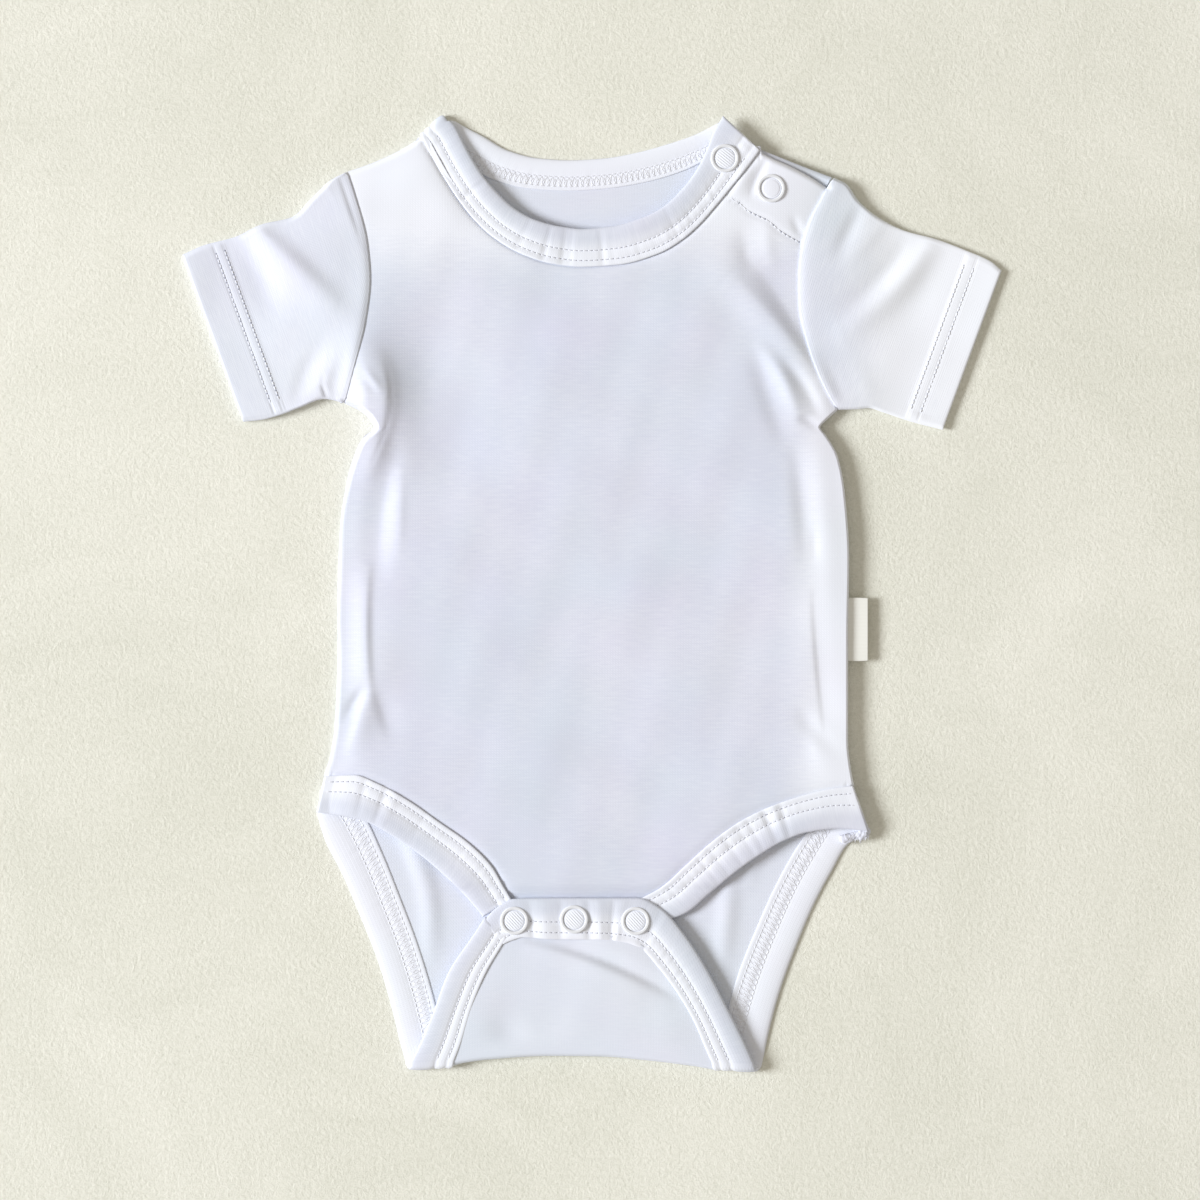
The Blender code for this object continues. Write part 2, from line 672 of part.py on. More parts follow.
def back_panel_skin(u, v):
    """Rows run down the back to the fold at the crotch, round it, and up the flap."""
    row = v * BACK_DOWN
    legs = np.clip((row - BACK_BODY_ROWS) / BACK_LEG_ROWS, 0, 1)
    turn = np.clip((row - BACK_BODY_ROWS - BACK_LEG_ROWS) / BACK_TURN_ROWS, 0, 1)
    flap = np.clip((row - BACK_DOWN + FLAP_ROWS) / FLAP_ROWS, 0, 1)

    # Ends of the rows: side seams and armholes, leg bindings, then the bindings of the flap
    body_left = stations(BACK_ROWS, "left_y", row)
    body_right = stations(BACK_ROWS, "right_y", row)
    leg_left_x, leg_left_y = sections(BACK_LEG_BINDING_LEFT, 0, legs)
    leg_right_x, leg_right_y = sections(BACK_LEG_BINDING_RIGHT, 0, legs)
    flap_left_x, flap_left_y = sections(FLAP_BINDING_LEFT, 0, flap)
    flap_right_x, flap_right_y = sections(FLAP_SIDE_RIGHT, 0, flap)
    left_y = np.where(legs > 0, leg_left_y, body_left)
    right_y = np.where(legs > 0, leg_right_y, body_right)
    left = np.where(legs > 0, leg_left_x + LEG_GAP, left_edge(body_left))
    right = np.where(legs > 0, leg_right_x - LEG_GAP, right_edge(body_right))
    left += (flap_left_x + LEG_GAP - left) * turn
    right += (flap_right_x - LEG_GAP - right) * turn

    top_share = stations(BACK_COLUMNS, "top_share", u * BACK_ACROSS)
    low_share = stations(BACK_COLUMNS, "low_share", u * BACK_ACROSS)
    share = top_share + (low_share - top_share) * (body_left.max() - body_left) / np.ptp(body_left)
    share = np.where(legs > 0, u, share)
    x = left + (right - left) * share

    top_left, top_right = LEFT_SHOULDER["x"][0], RIGHT_SHOULDER_BACK["x"][-1]
    fold_left, fold_right = BACK_LEG_BINDING_LEFT["seam_x"][-1], BACK_LEG_BINDING_RIGHT["seam_x"][-1]
    flap_end_left, flap_end_right = FLAP_BINDING_LEFT["seam_x"][-1], FLAP_SIDE_RIGHT["seam_x"][-1]
    top_y = back_top(top_left + (top_right - top_left) * top_share)
    fold_y = y_at(FOLD_LINE, fold_left + (fold_right - fold_left) * u) + PANEL_TURN
    end_y = y_at(FLAP_TOP, flap_end_left + (flap_end_right - flap_end_left) * u) - EDGE_GAP
    back_y = bent_rows(left_y, right_y, share, fold_y, top_y)
    flap_y = bent_rows(flap_left_y, flap_right_y, u, fold_y, end_y)
    y = np.where(flap > 0, flap_y, back_y) - PANEL_TURN * np.sin(math.pi * turn)

    z = PANEL_TURN * (1 - np.cos(math.pi * turn))
    z += np.where(flap > 0, fold_rise(FLAP_FOLDS, x, y) * ease(flap * 3), 0.0)
    return x, y, z


def turned_binding_skin(down, up, up_cells, free_first):
    """A leg binding's skin: down the back, round the fold at the crotch, and up the flap."""
    cells = LEG_CELLS + LEG_TURN_CELLS + up_cells
    turn_start = LEG_CELLS / cells
    turn_end = (LEG_CELLS + LEG_TURN_CELLS) / cells

    def skin(u, v):
        across = 1 - u if free_first else u
        turn = np.clip((v - turn_start) / (turn_end - turn_start), 0, 1)
        down_x, down_y = sections(down, across, np.clip(v / turn_start, 0, 1))
        up_x, up_y = sections(up, across, np.clip((v - turn_end) / (1 - turn_end), 0, 1))
        x = np.where(turn < 1, down_x + (up_x - down_x) * turn, up_x)
        y = np.where(turn < 1, down_y + (up_y - down_y) * turn, up_y)
        y = y - BINDING_TURN * np.sin(math.pi * turn)
        return x, y, BINDING_TURN * (1 - np.cos(math.pi * turn))

    return skin


def front_binding_skin(rows, seam_first):
    """A binding's skin on the front layer."""

    def skin(u, v):
        x, y = sections(rows, u if seam_first else 1 - u, v)
        return x, y, binding_skin(x, y)

    return skin


def neck_binding_skin(u, v):
    """From the snapped tab round the front, over the left shoulder, and round the back on its inner side."""
    radius = NECK_FOLD_HEIGHT / 2
    cell = v * NECK_ALONG
    front = np.clip(cell / NECK_FRONT_CELLS, 0, 1)
    turn = np.clip((cell - NECK_FRONT_CELLS) / NECK_TURN_CELLS, 0, 1)
    back = np.clip((cell - NECK_ALONG + NECK_BACK_CELLS) / NECK_BACK_CELLS, 0, 1)
    front_x, front_y = sections(NECK_BINDING_FRONT, u, front)
    back_x, back_y = sections(NECK_BINDING_BACK, u, back)
    reach = radius * np.sin(math.pi * turn)
    x = np.where(back > 0, back_x, front_x) + NECK_TURN_X * reach
    y = np.where(back > 0, back_y, front_y) + NECK_TURN_Y * reach
    near_fold = ease((front - NECK_LOWERS_FROM) / (1 - NECK_LOWERS_FROM))
    front_z = binding_skin(front_x, front_y)
    front_z += (NECK_FOLD_HEIGHT - front_z) * near_fold
    z = np.where(turn > 0, radius * (1 + np.cos(math.pi * turn)), front_z)
    return x, y, z


def facing_skin(u, v):
    """The facing lies under the shoulder flap, 0.3 mm below its wall."""
    x, y = sections(SHOULDER_FACING, u, 1 - v)
    return x, y, front_skin(x, y) - JERSEY - SEAM_GAP


def crotch_strip_skin(u, v):
    """The front's snap strip, hidden under the flap's."""
    x = CROTCH_STRIP_TOP["x"][0] + (CROTCH_STRIP_TOP["x"][-1] - CROTCH_STRIP_TOP["x"][0]) * u
    top = np.interp(x, CROTCH_STRIP_TOP["x"], CROTCH_STRIP_TOP["y"])
    return x, CROTCH_STRIP_BOTTOM + (top - CROTCH_STRIP_BOTTOM) * v, np.full(np.shape(u), CROTCH_STRIP_SKIN)


def sleeve_skin(armhole, top, under, outwards):
    """A flattened tube from the armhole to the cuff: up its front layer and down its back layer."""
    half = SLEEVE_AROUND // 2
    lead = len(SLEEVE_RIM_SHARES)
    even = np.linspace(SLEEVE_RIM_SHARES[-1], 1 - SLEEVE_RIM_SHARES[-1], half + 3 - 2 * lead)
    layer = np.concatenate((SLEEVE_RIM_SHARES, even[1:-1], 1 - np.array(SLEEVE_RIM_SHARES[::-1])))
    loop = np.concatenate((layer, layer[-2::-1]))
    if outwards > 0:
        loop = loop[::-1]

    def skin(u, v):
        index = np.rint(u * SLEEVE_AROUND).astype(int)
        across = loop[index]
        is_front = index <= half if outwards < 0 else index >= half
        t = SLEEVE_START + (1 - SLEEVE_START) * v
        on_top_x, on_top_y = along(top, t)
        on_under_x, on_under_y = along(under, t)
        armhole_y = armhole["y"][0] + (armhole["y"][-1] - armhole["y"][0]) * across
        armhole_x = x_at(armhole, armhole_y)
        start_x = under["x"][0] + (top["x"][0] - under["x"][0]) * across
        start_y = under["y"][0] + (top["y"][0] - under["y"][0]) * across
        x = on_under_x + (on_top_x - on_under_x) * across + (armhole_x - start_x) * (1 - v)
        y = on_under_y + (on_top_y - on_under_y) * across + (armhole_y - start_y) * (1 - v)
        z = np.where(is_front, front_skin(x, y), back_skin(x, y))
        return x, y, np.where((across == 0) | (across == 1), SEAM_HEIGHT, z)

    return skin


def label_skin(u, v):
    """The blank woven label slopes from the side seam down to the surface."""
    x = LABEL_IN_X + (LABEL_OUT_X - LABEL_IN_X) * u
    y = LABEL_LOW_Y + (LABEL_HIGH_Y - LABEL_LOW_Y) * v
    return x, y, LABEL_IN_HEIGHT + (LABEL_OUT_HEIGHT - LABEL_IN_HEIGHT) * ease(u)


def turned(name, profile, place, material, closed):
    """A profile of radius and height in millimetres, turned about the upright through its place."""
    mesh = bpy.data.meshes.new(name)
    edges = [(i, i + 1) for i in range(len(profile) - 1)]
    if closed:
        edges.append((len(profile) - 1, 0))
    mesh.from_pydata([(radius * MM, 0.0, height * MM) for radius, height in profile], edges, [])
    mesh.materials.append(material)
    piece = bpy.data.objects.new(name, mesh)
    garment.objects.link(piece)
    piece.location = [value * MM for value in place]
    screw = piece.modifiers.new("turn", "SCREW")
    screw.steps = SNAP_SEGMENTS
    screw.render_steps = SNAP_SEGMENTS
    screw.use_merge_vertices = True
    screw.merge_threshold = 0.00001
    screw.use_smooth_shade = True
    return piece


def snap_ring(name, place, material):
    """The ring of a prong snap, of oval section."""
    turns = [math.pi / 2 - math.tau * i / RING_PROFILE_POINTS for i in range(RING_PROFILE_POINTS)]
    profile = [(RING_RADIUS + RING_BAND * math.cos(a), RING_HALF_HEIGHT * math.sin(a)) for a in turns]
    x, y, skin = place
    return turned(name, profile, (x, y, skin + SEAM_GAP + RING_HALF_HEIGHT), material, closed=True)


def snap_stud(name, place, over, under, material):
    """The socket and stud that grip each other between the two cloths."""
    x, y = place
    low = under + SEAM_GAP
    height = over - SEAM_GAP - low
    profile = [
        (0.0, height),
        (STUD_NECK_RADIUS, height),
        (STUD_RADIUS, height * 0.6),
        (STUD_RADIUS, 0.0),
        (0.0, 0.0),
    ]
    return turned(name, profile, (x, y, low), material, closed=False)


for leftover in list(bpy.data.objects):
    bpy.data.objects.remove(leftover, do_unlink=True)
garment = bpy.data.collections.new("snap_crotch_bodysuit")
bpy.context.scene.collection.children.link(garment)

front_jersey = principled("front_jersey", (221, 225, 234), 0.9)
back_jersey = principled("back_jersey", (224, 227, 234), 0.9)
sleeve_jersey = principled("sleeve_jersey", (238, 241, 248), 0.9)
binding_jersey = principled("binding_jersey", (232, 236, 243), 0.88)
white_enamel = principled("white_enamel", (238, 239, 238), 0.3)
plated_brass = principled("plated_brass", (206, 204, 198), 0.35, metallic=1.0)
woven_label = principled("woven_label", (240, 240, 232), 0.6)

cloth("front_panel", FRONT_ACROSS, FRONT_UP, front_panel_skin, JERSEY, front_jersey)
cloth("back_panel", BACK_ACROSS, BACK_DOWN, back_panel_skin, JERSEY, back_jersey)
for side, armhole, top, under, outwards in (
    ("left", LEFT_ARMHOLE, LEFT_SLEEVE_TOP, LEFT_SLEEVE_UNDER, -1),
    ("right", RIGHT_ARMHOLE, RIGHT_SLEEVE_TOP, RIGHT_SLEEVE_UNDER, 1),
):
    skin = sleeve_skin(armhole, top, under, outwards)
    cloth(f"sleeve_{side}", SLEEVE_AROUND, SLEEVE_ALONG, skin, JERSEY, sleeve_jersey, tube=True)

binding_skins = (
    ("neck_binding", NECK_ALONG, neck_binding_skin),
    ("leg_binding_front_left", FRONT_BINDING_ALONG, front_binding_skin(FRONT_LEG_BINDING_LEFT, True)),
    ("leg_binding_front_right", FRONT_BINDING_ALONG, front_binding_skin(FRONT_LEG_BINDING_RIGHT, False)),
    (
        "leg_binding_back_left",
        LEG_CELLS + LEG_TURN_CELLS + LEFT_FLAP_CELLS,
        turned_binding_skin(BACK_LEG_BINDING_LEFT, FLAP_BINDING_LEFT, LEFT_FLAP_CELLS, True),
    ),
    (
        "leg_binding_back_right",
        LEG_CELLS + LEG_TURN_CELLS + RIGHT_FLAP_CELLS,
        turned_binding_skin(BACK_LEG_BINDING_RIGHT, FLAP_BINDING_RIGHT, RIGHT_FLAP_CELLS, False),
    ),
)
for name, cells_along, skin in binding_skins:
    cloth(name, BINDING_ACROSS, cells_along, skin, BINDING, binding_jersey)
cloth("front_crotch_strip", 12, 2, crotch_strip_skin, JERSEY, front_jersey)
cloth("shoulder_facing", 4, 6, facing_skin, JERSEY, front_jersey)
cloth("side_label", 2, 4, label_skin, JERSEY, woven_label)

shoulder_skin = float(front_skin(*(np.array([value]) for value in SNAPS["shoulder"]))[0])
tab_skin = float(binding_skin(*(np.array([value]) for value in SNAPS["neck_tab"]))[0])
for name, place in SNAPS.items():
    if name == "shoulder":
        skin, over, under = shoulder_skin, shoulder_skin - 2 * JERSEY - SEAM_GAP, JERSEY
    elif name == "neck_tab":
        skin, over, under = tab_skin, tab_skin - BINDING, BINDING
    else:
        skin, over, under = FLAP_BINDING_HEIGHT, FLAP_BINDING_HEIGHT - BINDING, CROTCH_STRIP_SKIN
    snap_ring(f"snap_ring_{name}", (*place, skin), white_enamel)
    snap_stud(f"snap_stud_{name}", place, over, under, plated_brass)
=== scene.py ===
"""Looks of a short-sleeved infant bodysuit in fine lavender-white cotton jersey, laid flat on its back.

Sizes are in millimetres until they go into a mesh: +X to the right as seen, +Y towards the neck, +Z up.
"""

import math

import bmesh
import bpy
import numpy as np
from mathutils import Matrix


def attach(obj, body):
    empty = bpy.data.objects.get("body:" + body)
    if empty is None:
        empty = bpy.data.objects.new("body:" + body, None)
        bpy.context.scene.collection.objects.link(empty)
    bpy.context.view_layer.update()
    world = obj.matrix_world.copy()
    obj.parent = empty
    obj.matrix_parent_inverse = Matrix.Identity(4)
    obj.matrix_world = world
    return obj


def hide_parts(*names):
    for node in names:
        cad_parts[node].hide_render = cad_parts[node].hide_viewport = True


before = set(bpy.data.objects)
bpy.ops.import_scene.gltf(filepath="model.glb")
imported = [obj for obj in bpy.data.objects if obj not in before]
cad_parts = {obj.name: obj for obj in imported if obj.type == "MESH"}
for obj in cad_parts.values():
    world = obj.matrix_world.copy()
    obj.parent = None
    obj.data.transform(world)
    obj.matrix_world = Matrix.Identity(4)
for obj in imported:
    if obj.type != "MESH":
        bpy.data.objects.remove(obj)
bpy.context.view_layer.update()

# Back panel: one piece of single jersey from the neckline down to the crotch, its crotch end turned up
# over the front. Its inner side shows in the neck and leg openings, and its outer side on the flap. It is
# cut flat with a shaped neckline and leg openings, bound round them and overlocked at the sides.
MM = 0.001
# Points closer than this, in metres, are joined
WELD = 2e-6
# The cloth's thickness, the height of the front layer, and a panel's reach under its binding
JERSEY = 1.0
LEVEL = 5.0
LAP = 2.0
# The knit as it is drawn: half a loop's width and a row's height. The range is beyond the garment, so
# that a cloth with no other range has no paler tone of painted light
HALF_WALE = 0.5
COURSE = 0.85
NO_TONE = (200.0, 300.0)
TWO_COLOURS = {"data_type": "RGBA"}
TIMES_PLUS = {"operation": "MULTIPLY_ADD"}


def table(columns, *rows):
    """The rows as one array for each named column."""
    return dict(zip(columns.split(), np.array(rows, float).T))


def grid(columns, rows):
    """Even shares u across and v along, at each corner of a mesh of this many columns and rows."""
    return np.meshgrid(np.linspace(0, 1, columns + 1), np.linspace(0, 1, rows + 1))


def smooth(knots, values, at):
    """A cubic through each value at its knot that never runs past the values on either side."""
    chords = np.diff(values) / np.diff(knots)
    product = chords[1:] * chords[:-1]
    total = chords[1:] + chords[:-1]
    inner = np.where(product > 0, 2 * product / np.where(product > 0, total, 1.0), 0.0)
    slopes = np.concatenate((chords[:1], inner, chords[-1:]))
    at = np.clip(at, knots[0], knots[-1])
    cell = np.clip(np.searchsorted(knots, at, side="right") - 1, 0, len(knots) - 2)
    run = knots[cell + 1] - knots[cell]
    t = (at - knots[cell]) / run
    start = (1 + 2 * t) * (1 - t) ** 2 * values[cell] + t * (1 - t) ** 2 * run * slopes[cell]
    end = t**2 * (3 - 2 * t) * values[cell + 1] + t**2 * (t - 1) * run * slopes[cell + 1]
    return start + end


def x_at(edge, y):
    """Where an edge that runs up the garment is at the height y."""
    return smooth(edge["y"], edge["x"], y)


def y_at(edge, x):
    """How high an edge that runs across the garment is at x."""
    return smooth(edge["x"], edge["y"], x)


def along(edge, t):
    """The point at the share t of an outline, by its chord length."""
    chords = np.hypot(np.diff(edge["x"]), np.diff(edge["y"]))
    share = np.concatenate(([0.0], np.cumsum(chords))) / chords.sum()
    return smooth(share, edge["x"], t), smooth(share, edge["y"], t)


def ease(t):
    """From 0 to 1 with level ends."""
    t = np.clip(t, 0.0, 1.0)
    return t * t * (3 - 2 * t)


def stations(rows, column, cell):
    """One column of a table of rows or columns, read at these cells."""
    return np.interp(cell, rows["cell"], rows[column])


def run(rows, t):
    """A binding's sewn and free edges (seam_x, seam_y, free_x, free_y) at the shares t of its length."""
    mid_x = (rows["seam_x"] + rows["free_x"]) / 2
    mid_y = (rows["seam_y"] + rows["free_y"]) / 2
    chords = np.hypot(np.diff(mid_x), np.diff(mid_y))
    knots = np.concatenate(([0.0], np.cumsum(chords))) / chords.sum()
    return np.stack([smooth(knots, column, t) for column in rows.values()])


def under_lap(rows, t):
    """The line that a panel's edge follows under its binding, LAP inside the sewn edge."""
    seam_x, seam_y, free_x, free_y = run(rows, t)
    share = LAP / np.hypot(free_x - seam_x, free_y - seam_y)
    return seam_x + (free_x - seam_x) * share, seam_y + (free_y - seam_y) * share


def fold_rise(folds, x, y, samples=16):
    """The sum of the folds: each a bell across its curved line that fades to both its ends.

    A bell has a half width of its own on the west (-X) and on the east side of its line, and the one
    passes into the other round the line's ends, by the sine of the angle from its direction.
    """
    total = np.zeros(np.shape(x))
    t = np.linspace(0, 1, samples)
    for x0, y0, x1, y1, x2, y2, west, east, rise in zip(*folds.values()):
        line_x = (1 - t) ** 2 * x0 + 2 * t * (1 - t) * x1 + t**2 * x2
        line_y = (1 - t) ** 2 * y0 + 2 * t * (1 - t) * y1 + t**2 * y2
        bell = np.zeros(np.shape(x))
        for ax, ay, bx, by, share in zip(line_x[:-1], line_y[:-1], line_x[1:], line_y[1:], t[:-1]):
            run_length = (bx - ax) ** 2 + (by - ay) ** 2
            s = np.clip(((x - ax) * (bx - ax) + (y - ay) * (by - ay)) / run_length, 0, 1)
            away = (x - ax - s * (bx - ax)) ** 2 + (y - ay - s * (by - ay)) ** 2
            turn = ((x - ax) * (by - ay) - (y - ay) * (bx - ax)) * np.sign(by - ay)
            sine = np.clip(turn / np.sqrt(run_length * away + 1e-12), -1, 1)
            half_width = west + (east - west) * (1 + sine) / 2
            fade = np.sin(math.pi * np.clip(share + s * (t[1] - t[0]), 0, 1)) ** 0.7
            bell = np.maximum(bell, np.exp(-away / half_width**2) * fade)
        total += rise * bell
    return total


def distance(edge, x, y, samples=120):
    """The distance to an outline, as the least of the distances to its chords."""
    line_x, line_y = along(edge, np.linspace(0, 1, samples))
    best = np.full(np.shape(x), np.inf)
    for ax, ay, bx, by in zip(line_x[:-1], line_y[:-1], line_x[1:], line_y[1:]):
        run_length = (bx - ax) ** 2 + (by - ay) ** 2
        t = np.clip(((x - ax) * (bx - ax) + (y - ay) * (by - ay)) / run_length, 0, 1)
        best = np.minimum(best, (x - ax - t * (bx - ax)) ** 2 + (y - ay - t * (by - ay)) ** 2)
    return np.sqrt(best)


def slack(x, y):
    """The slow unevenness of cloth that has been smoothed by hand: five long crossing waves."""
    waves = table(
        "length turn phase rise",
        (62.0, 0.4, 0.3, 0.16),
        (44.0, 1.9, 2.1, 0.13),
        (33.0, 2.6, 4.0, 0.09),
        (24.0, 1.1, 5.2, 0.06),
        (17.0, 2.9, 1.2, 0.035),
    )
    total = np.zeros(np.shape(x))
    for length, turn, phase, rise in zip(*waves.values()):
        total += rise * np.sin(math.tau * (x * math.cos(turn) + y * math.sin(turn)) / length + phase)
    return total


def surface(name, x, y, z, cloth_u, cloth_v, weld=False):
    """A mesh from arrays of points, rows by columns, with the cloth's own millimetres as its UV map."""
    rows, columns = x.shape
    index = np.arange(rows * columns).reshape(rows, columns)
    corners = [index[:-1, :-1], index[:-1, 1:], index[1:, 1:], index[1:, :-1]]
    quads = np.stack(corners, axis=-1).reshape(-1, 4)
    mesh = bpy.data.meshes.new(name)
    mesh.vertices.add(rows * columns)
    mesh.vertices.foreach_set("co", (np.stack([x, y, z], axis=-1) * MM).ravel())
    mesh.loops.add(quads.size)
    mesh.loops.foreach_set("vertex_index", quads.ravel())
    mesh.polygons.add(len(quads))
    mesh.polygons.foreach_set("loop_start", np.arange(0, quads.size, 4))
    mesh.update(calc_edges=True)
    uv = np.stack([cloth_u, cloth_v], axis=-1).reshape(-1, 2)[quads.ravel()]
    mesh.uv_layers.new(name="cloth").data.foreach_set("uv", uv.ravel())
    if weld:
        joined = bmesh.new()
        joined.from_mesh(mesh)
        bmesh.ops.remove_doubles(joined, verts=joined.verts, dist=WELD)
        joined.to_mesh(mesh)
        joined.free()
    mesh.shade_smooth()
    piece = bpy.data.objects.new(name, mesh)
    bpy.context.scene.collection.objects.link(piece)
    return piece


def wall(piece, thickness):
    """The cloth's thickness, on its inner side."""
    solid = piece.modifiers.new("wall", "SOLIDIFY")
    solid.thickness = thickness * MM
    solid.offset = -1.0
    solid.use_quality_normals = True


def linear(srgb):
    """A hex colour as linear red, green, blue and alpha."""
    levels = [int(srgb[i : i + 2], 16) / 255 for i in (1, 3, 5)]
    return (*(c / 12.92 if c <= 0.04045 else ((c + 0.055) / 1.055) ** 2.4 for c in levels), 1.0)


def add(tree, kind, settings=None, **links):
    """Adds a node with its settings, and links each named input from a socket or sets it to a value."""
    new = tree.nodes.new(kind)
    for key, value in (settings or {}).items():
        setattr(new, key, value)
    for key, value in links.items():
        socket = new.inputs[int(key[1:])] if key[0] == "_" else new.inputs[key.replace("_", " ")]
        if isinstance(value, bpy.types.NodeSocket):
            tree.links.new(value, socket)
        else:
            socket.default_value = value
    return new


def new_material(name):
    """An empty material, its node tree and its shader."""
    material = bpy.data.materials.new(name)
    material.use_nodes = True
    return material, material.node_tree, material.node_tree.nodes["Principled BSDF"]


def jersey(name, pale, deep, side_light_tone=NO_TONE, top_light_tone=NO_TONE, fold_shade_tone=NO_TONE):
    """Fine combed-cotton single jersey: knitted in rows of V-shaped loops, then washed soft.

    To the eye it is matt with a faint fuzz, a fine upright grain, and hardly any mottling. The real loops
    are 0.6 mm wide and too fine for the picture, so they are drawn 1.0 mm wide. Where a tone's range is
    passed, by x, y or the distance from a binding's fold, the cloth is paler. This is painted light: paler
    where the light falls more fully, and darker near a binding's fold as painted shade, partly also the
    thinner cloth there.
    """
    material, tree, shader = new_material(name)
    cloth = add(tree, "ShaderNodeUVMap", {"uv_map": "cloth"}).outputs["UV"]
    place = add(tree, "ShaderNodeTexCoord").outputs["Object"]

    # Loops: a wave up each wale, bent to a V by the distance from the wale's middle
    split = add(tree, "ShaderNodeSeparateXYZ", _0=cloth)
    wale = add(tree, "ShaderNodeMath", {"operation": "PINGPONG"}, _0=split.outputs["X"], _1=HALF_WALE)
    times = {"operation": "MULTIPLY"}
    lean = add(tree, "ShaderNodeMath", TIMES_PLUS, _0=wale.outputs[0], _1=1.1, _2=split.outputs["Y"])
    course = add(tree, "ShaderNodeMath", times, _0=lean.outputs[0], _1=math.tau / COURSE)
    loop = add(tree, "ShaderNodeMath", {"operation": "SINE"}, _0=course.outputs[0])
    rib = add(tree, "ShaderNodeMath", TIMES_PLUS, _0=wale.outputs[0], _1=2.2, _2=loop.outputs[0])
    fuzz = add(tree, "ShaderNodeTexNoise", _0=place, Scale=900.0, Detail=3.0, Roughness=0.6)
    height = add(tree, "ShaderNodeMath", TIMES_PLUS, _0=fuzz.outputs["Fac"], _1=2.6, _2=rib.outputs[0])
    bump = add(tree, "ShaderNodeBump", Height=height.outputs[0], Strength=0.14, Distance=0.00012)

    # Colour: slow clouding, short slubs along the courses, and a paler tone towards the right, towards the
    # shoulders and away from a binding's fold. That tone is painted light: paler where the light falls more
    # fully, and darker near the fold as painted shade, in part also where the cloth there is thinner. Its
    # hue drifts very slightly, as bleached cotton's does
    slow = add(tree, "ShaderNodeTexNoise", _0=place, Scale=22.0, Detail=3.0, Roughness=0.55)
    drawn = add(tree, "ShaderNodeVectorMath", times, _0=cloth, _1=(0.22, 1.5, 1.0))
    slub = add(tree, "ShaderNodeTexNoise", _0=drawn.outputs[0], Scale=0.8, Detail=2.0, Roughness=0.6)
    axes = add(tree, "ShaderNodeSeparateXYZ", _0=place)
    tone = None
    # Each range paints light: the cloth turns paler past its start
    for axis, (tone_from, tone_to), unit in (
        (axes.outputs["X"], side_light_tone, MM),
        (axes.outputs["Y"], top_light_tone, MM),
        (split.outputs["X"], fold_shade_tone, 1.0),
    ):
        settings = {"interpolation_type": "SMOOTHSTEP"}
        step = add(tree, "ShaderNodeMapRange", settings, _0=axis, _1=tone_from * unit, _2=tone_to * unit)
        held = tone.outputs[0] if tone else 0.0
        tone = add(tree, "ShaderNodeMath", {"operation": "MAXIMUM"}, _0=step.outputs[0], _1=held)
    mottle = add(tree, "ShaderNodeMath", TIMES_PLUS, _0=slow.outputs["Fac"], _1=0.7, _2=tone.outputs[0])
    grain = add(tree, "ShaderNodeMath", TIMES_PLUS, _0=slub.outputs["Fac"], _1=0.8, _2=mottle.outputs[0])
    clamped = {"operation": "SUBTRACT", "use_clamp": True}
    share = add(tree, "ShaderNodeMath", clamped, _0=grain.outputs[0], _1=0.65)
    plain = add(tree, "ShaderNodeMix", TWO_COLOURS, _0=share.outputs[0], _6=linear(deep), _7=linear(pale))
    drift = add(tree, "ShaderNodeTexNoise", _0=place, Scale=26.0, Detail=2.0)
    settings = {"data_type": "RGBA", "blend_type": "SOFT_LIGHT"}
    colour = add(tree, "ShaderNodeMix", settings, _0=0.16, _6=plain.outputs[2], _7=drift.outputs["Color"])
    tree.links.new(colour.outputs[2], shader.inputs["Base Color"])
    tree.links.new(bump.outputs["Normal"], shader.inputs["Normal"])
    shader.inputs["Roughness"].default_value = 0.92
    shader.inputs["Specular IOR Level"].default_value = 0.25
    shader.inputs["Sheen Weight"].default_value = 0.12
    shader.inputs["Sheen Roughness"].default_value = 0.5
    return material


LEFT_SIDE = table(
    "y x",
    (-81.9, -101.9),
    (-77.4, -101.6),
    (-68.5, -99.3),
    (-61.5, -97.0),
    (-49.6, -95.2),
    (-21.9, -94.1),
    (-1.5, -94.1),
    (21.5, -93.3),
    (40.4, -90.7),
    (53.3, -86.7),
    (57.0, -84.4),
    (60.4, -80.6),
    (64.4, -83.0),
    (66.7, -85.9),
    (69.6, -91.9),
)
LEFT_ARMHOLE = table(
    "y x",
    (69.6, -91.9),
    (87.0, -87.0),
    (98.9, -84.1),
    (115.2, -82.2),
    (128.9, -83.3),
    (145.2, -87.4),
    (155.2, -90.7),
)
RIGHT_SIDE = table(
    "y x",
    (-88.5, 102.6),
    (-83.0, 101.6),
    (-75.6, 98.4),
    (-68.5, 96.3),
    (-55.2, 94.8),
    (-18.1, 94.8),
    (12.6, 95.2),
    (35.2, 93.7),
    (49.3, 91.1),
    (58.1, 86.3),
    (60.4, 84.4),
    (63.3, 86.9),
    (67.0, 91.1),
)
RIGHT_ARMHOLE = table(
    "y x",
    (67.0, 91.1),
    (76.3, 85.9),
    (89.6, 80.7),
    (104.8, 77.0),
    (115.2, 76.7),
    (126.3, 77.6),
    (135.6, 80.2),
    (145.2, 85.0),
    (153.0, 89.4),
)
LEFT_SHOULDER = table("x y", (-90.7, 155.2), (-82.2, 158.1), (-70.7, 163.3), (-64.3, 167.2))
RIGHT_SHOULDER_BACK = table("x y", (55.4, 166.2), (65.2, 162.4), (76.7, 157.8), (89.4, 153.0))
FOLD_LINE = table(
    "x y",
    (-68.1, -176.9),
    (-54.8, -176.6),
    (-46.7, -174.6),
    (-37.4, -173.3),
    (-15.6, -172.0),
    (3.0, -172.2),
    (20.4, -173.7),
    (37.0, -175.8),
    (50.4, -177.8),
    (62.0, -177.4),
)
FLAP_TOP = table(
    "x y",
    (-33.0, -131.0),
    (-23.0, -128.4),
    (-5.0, -129.2),
    (8.0, -129.4),
    (14.8, -131.2),
    (18.9, -133.6),
)
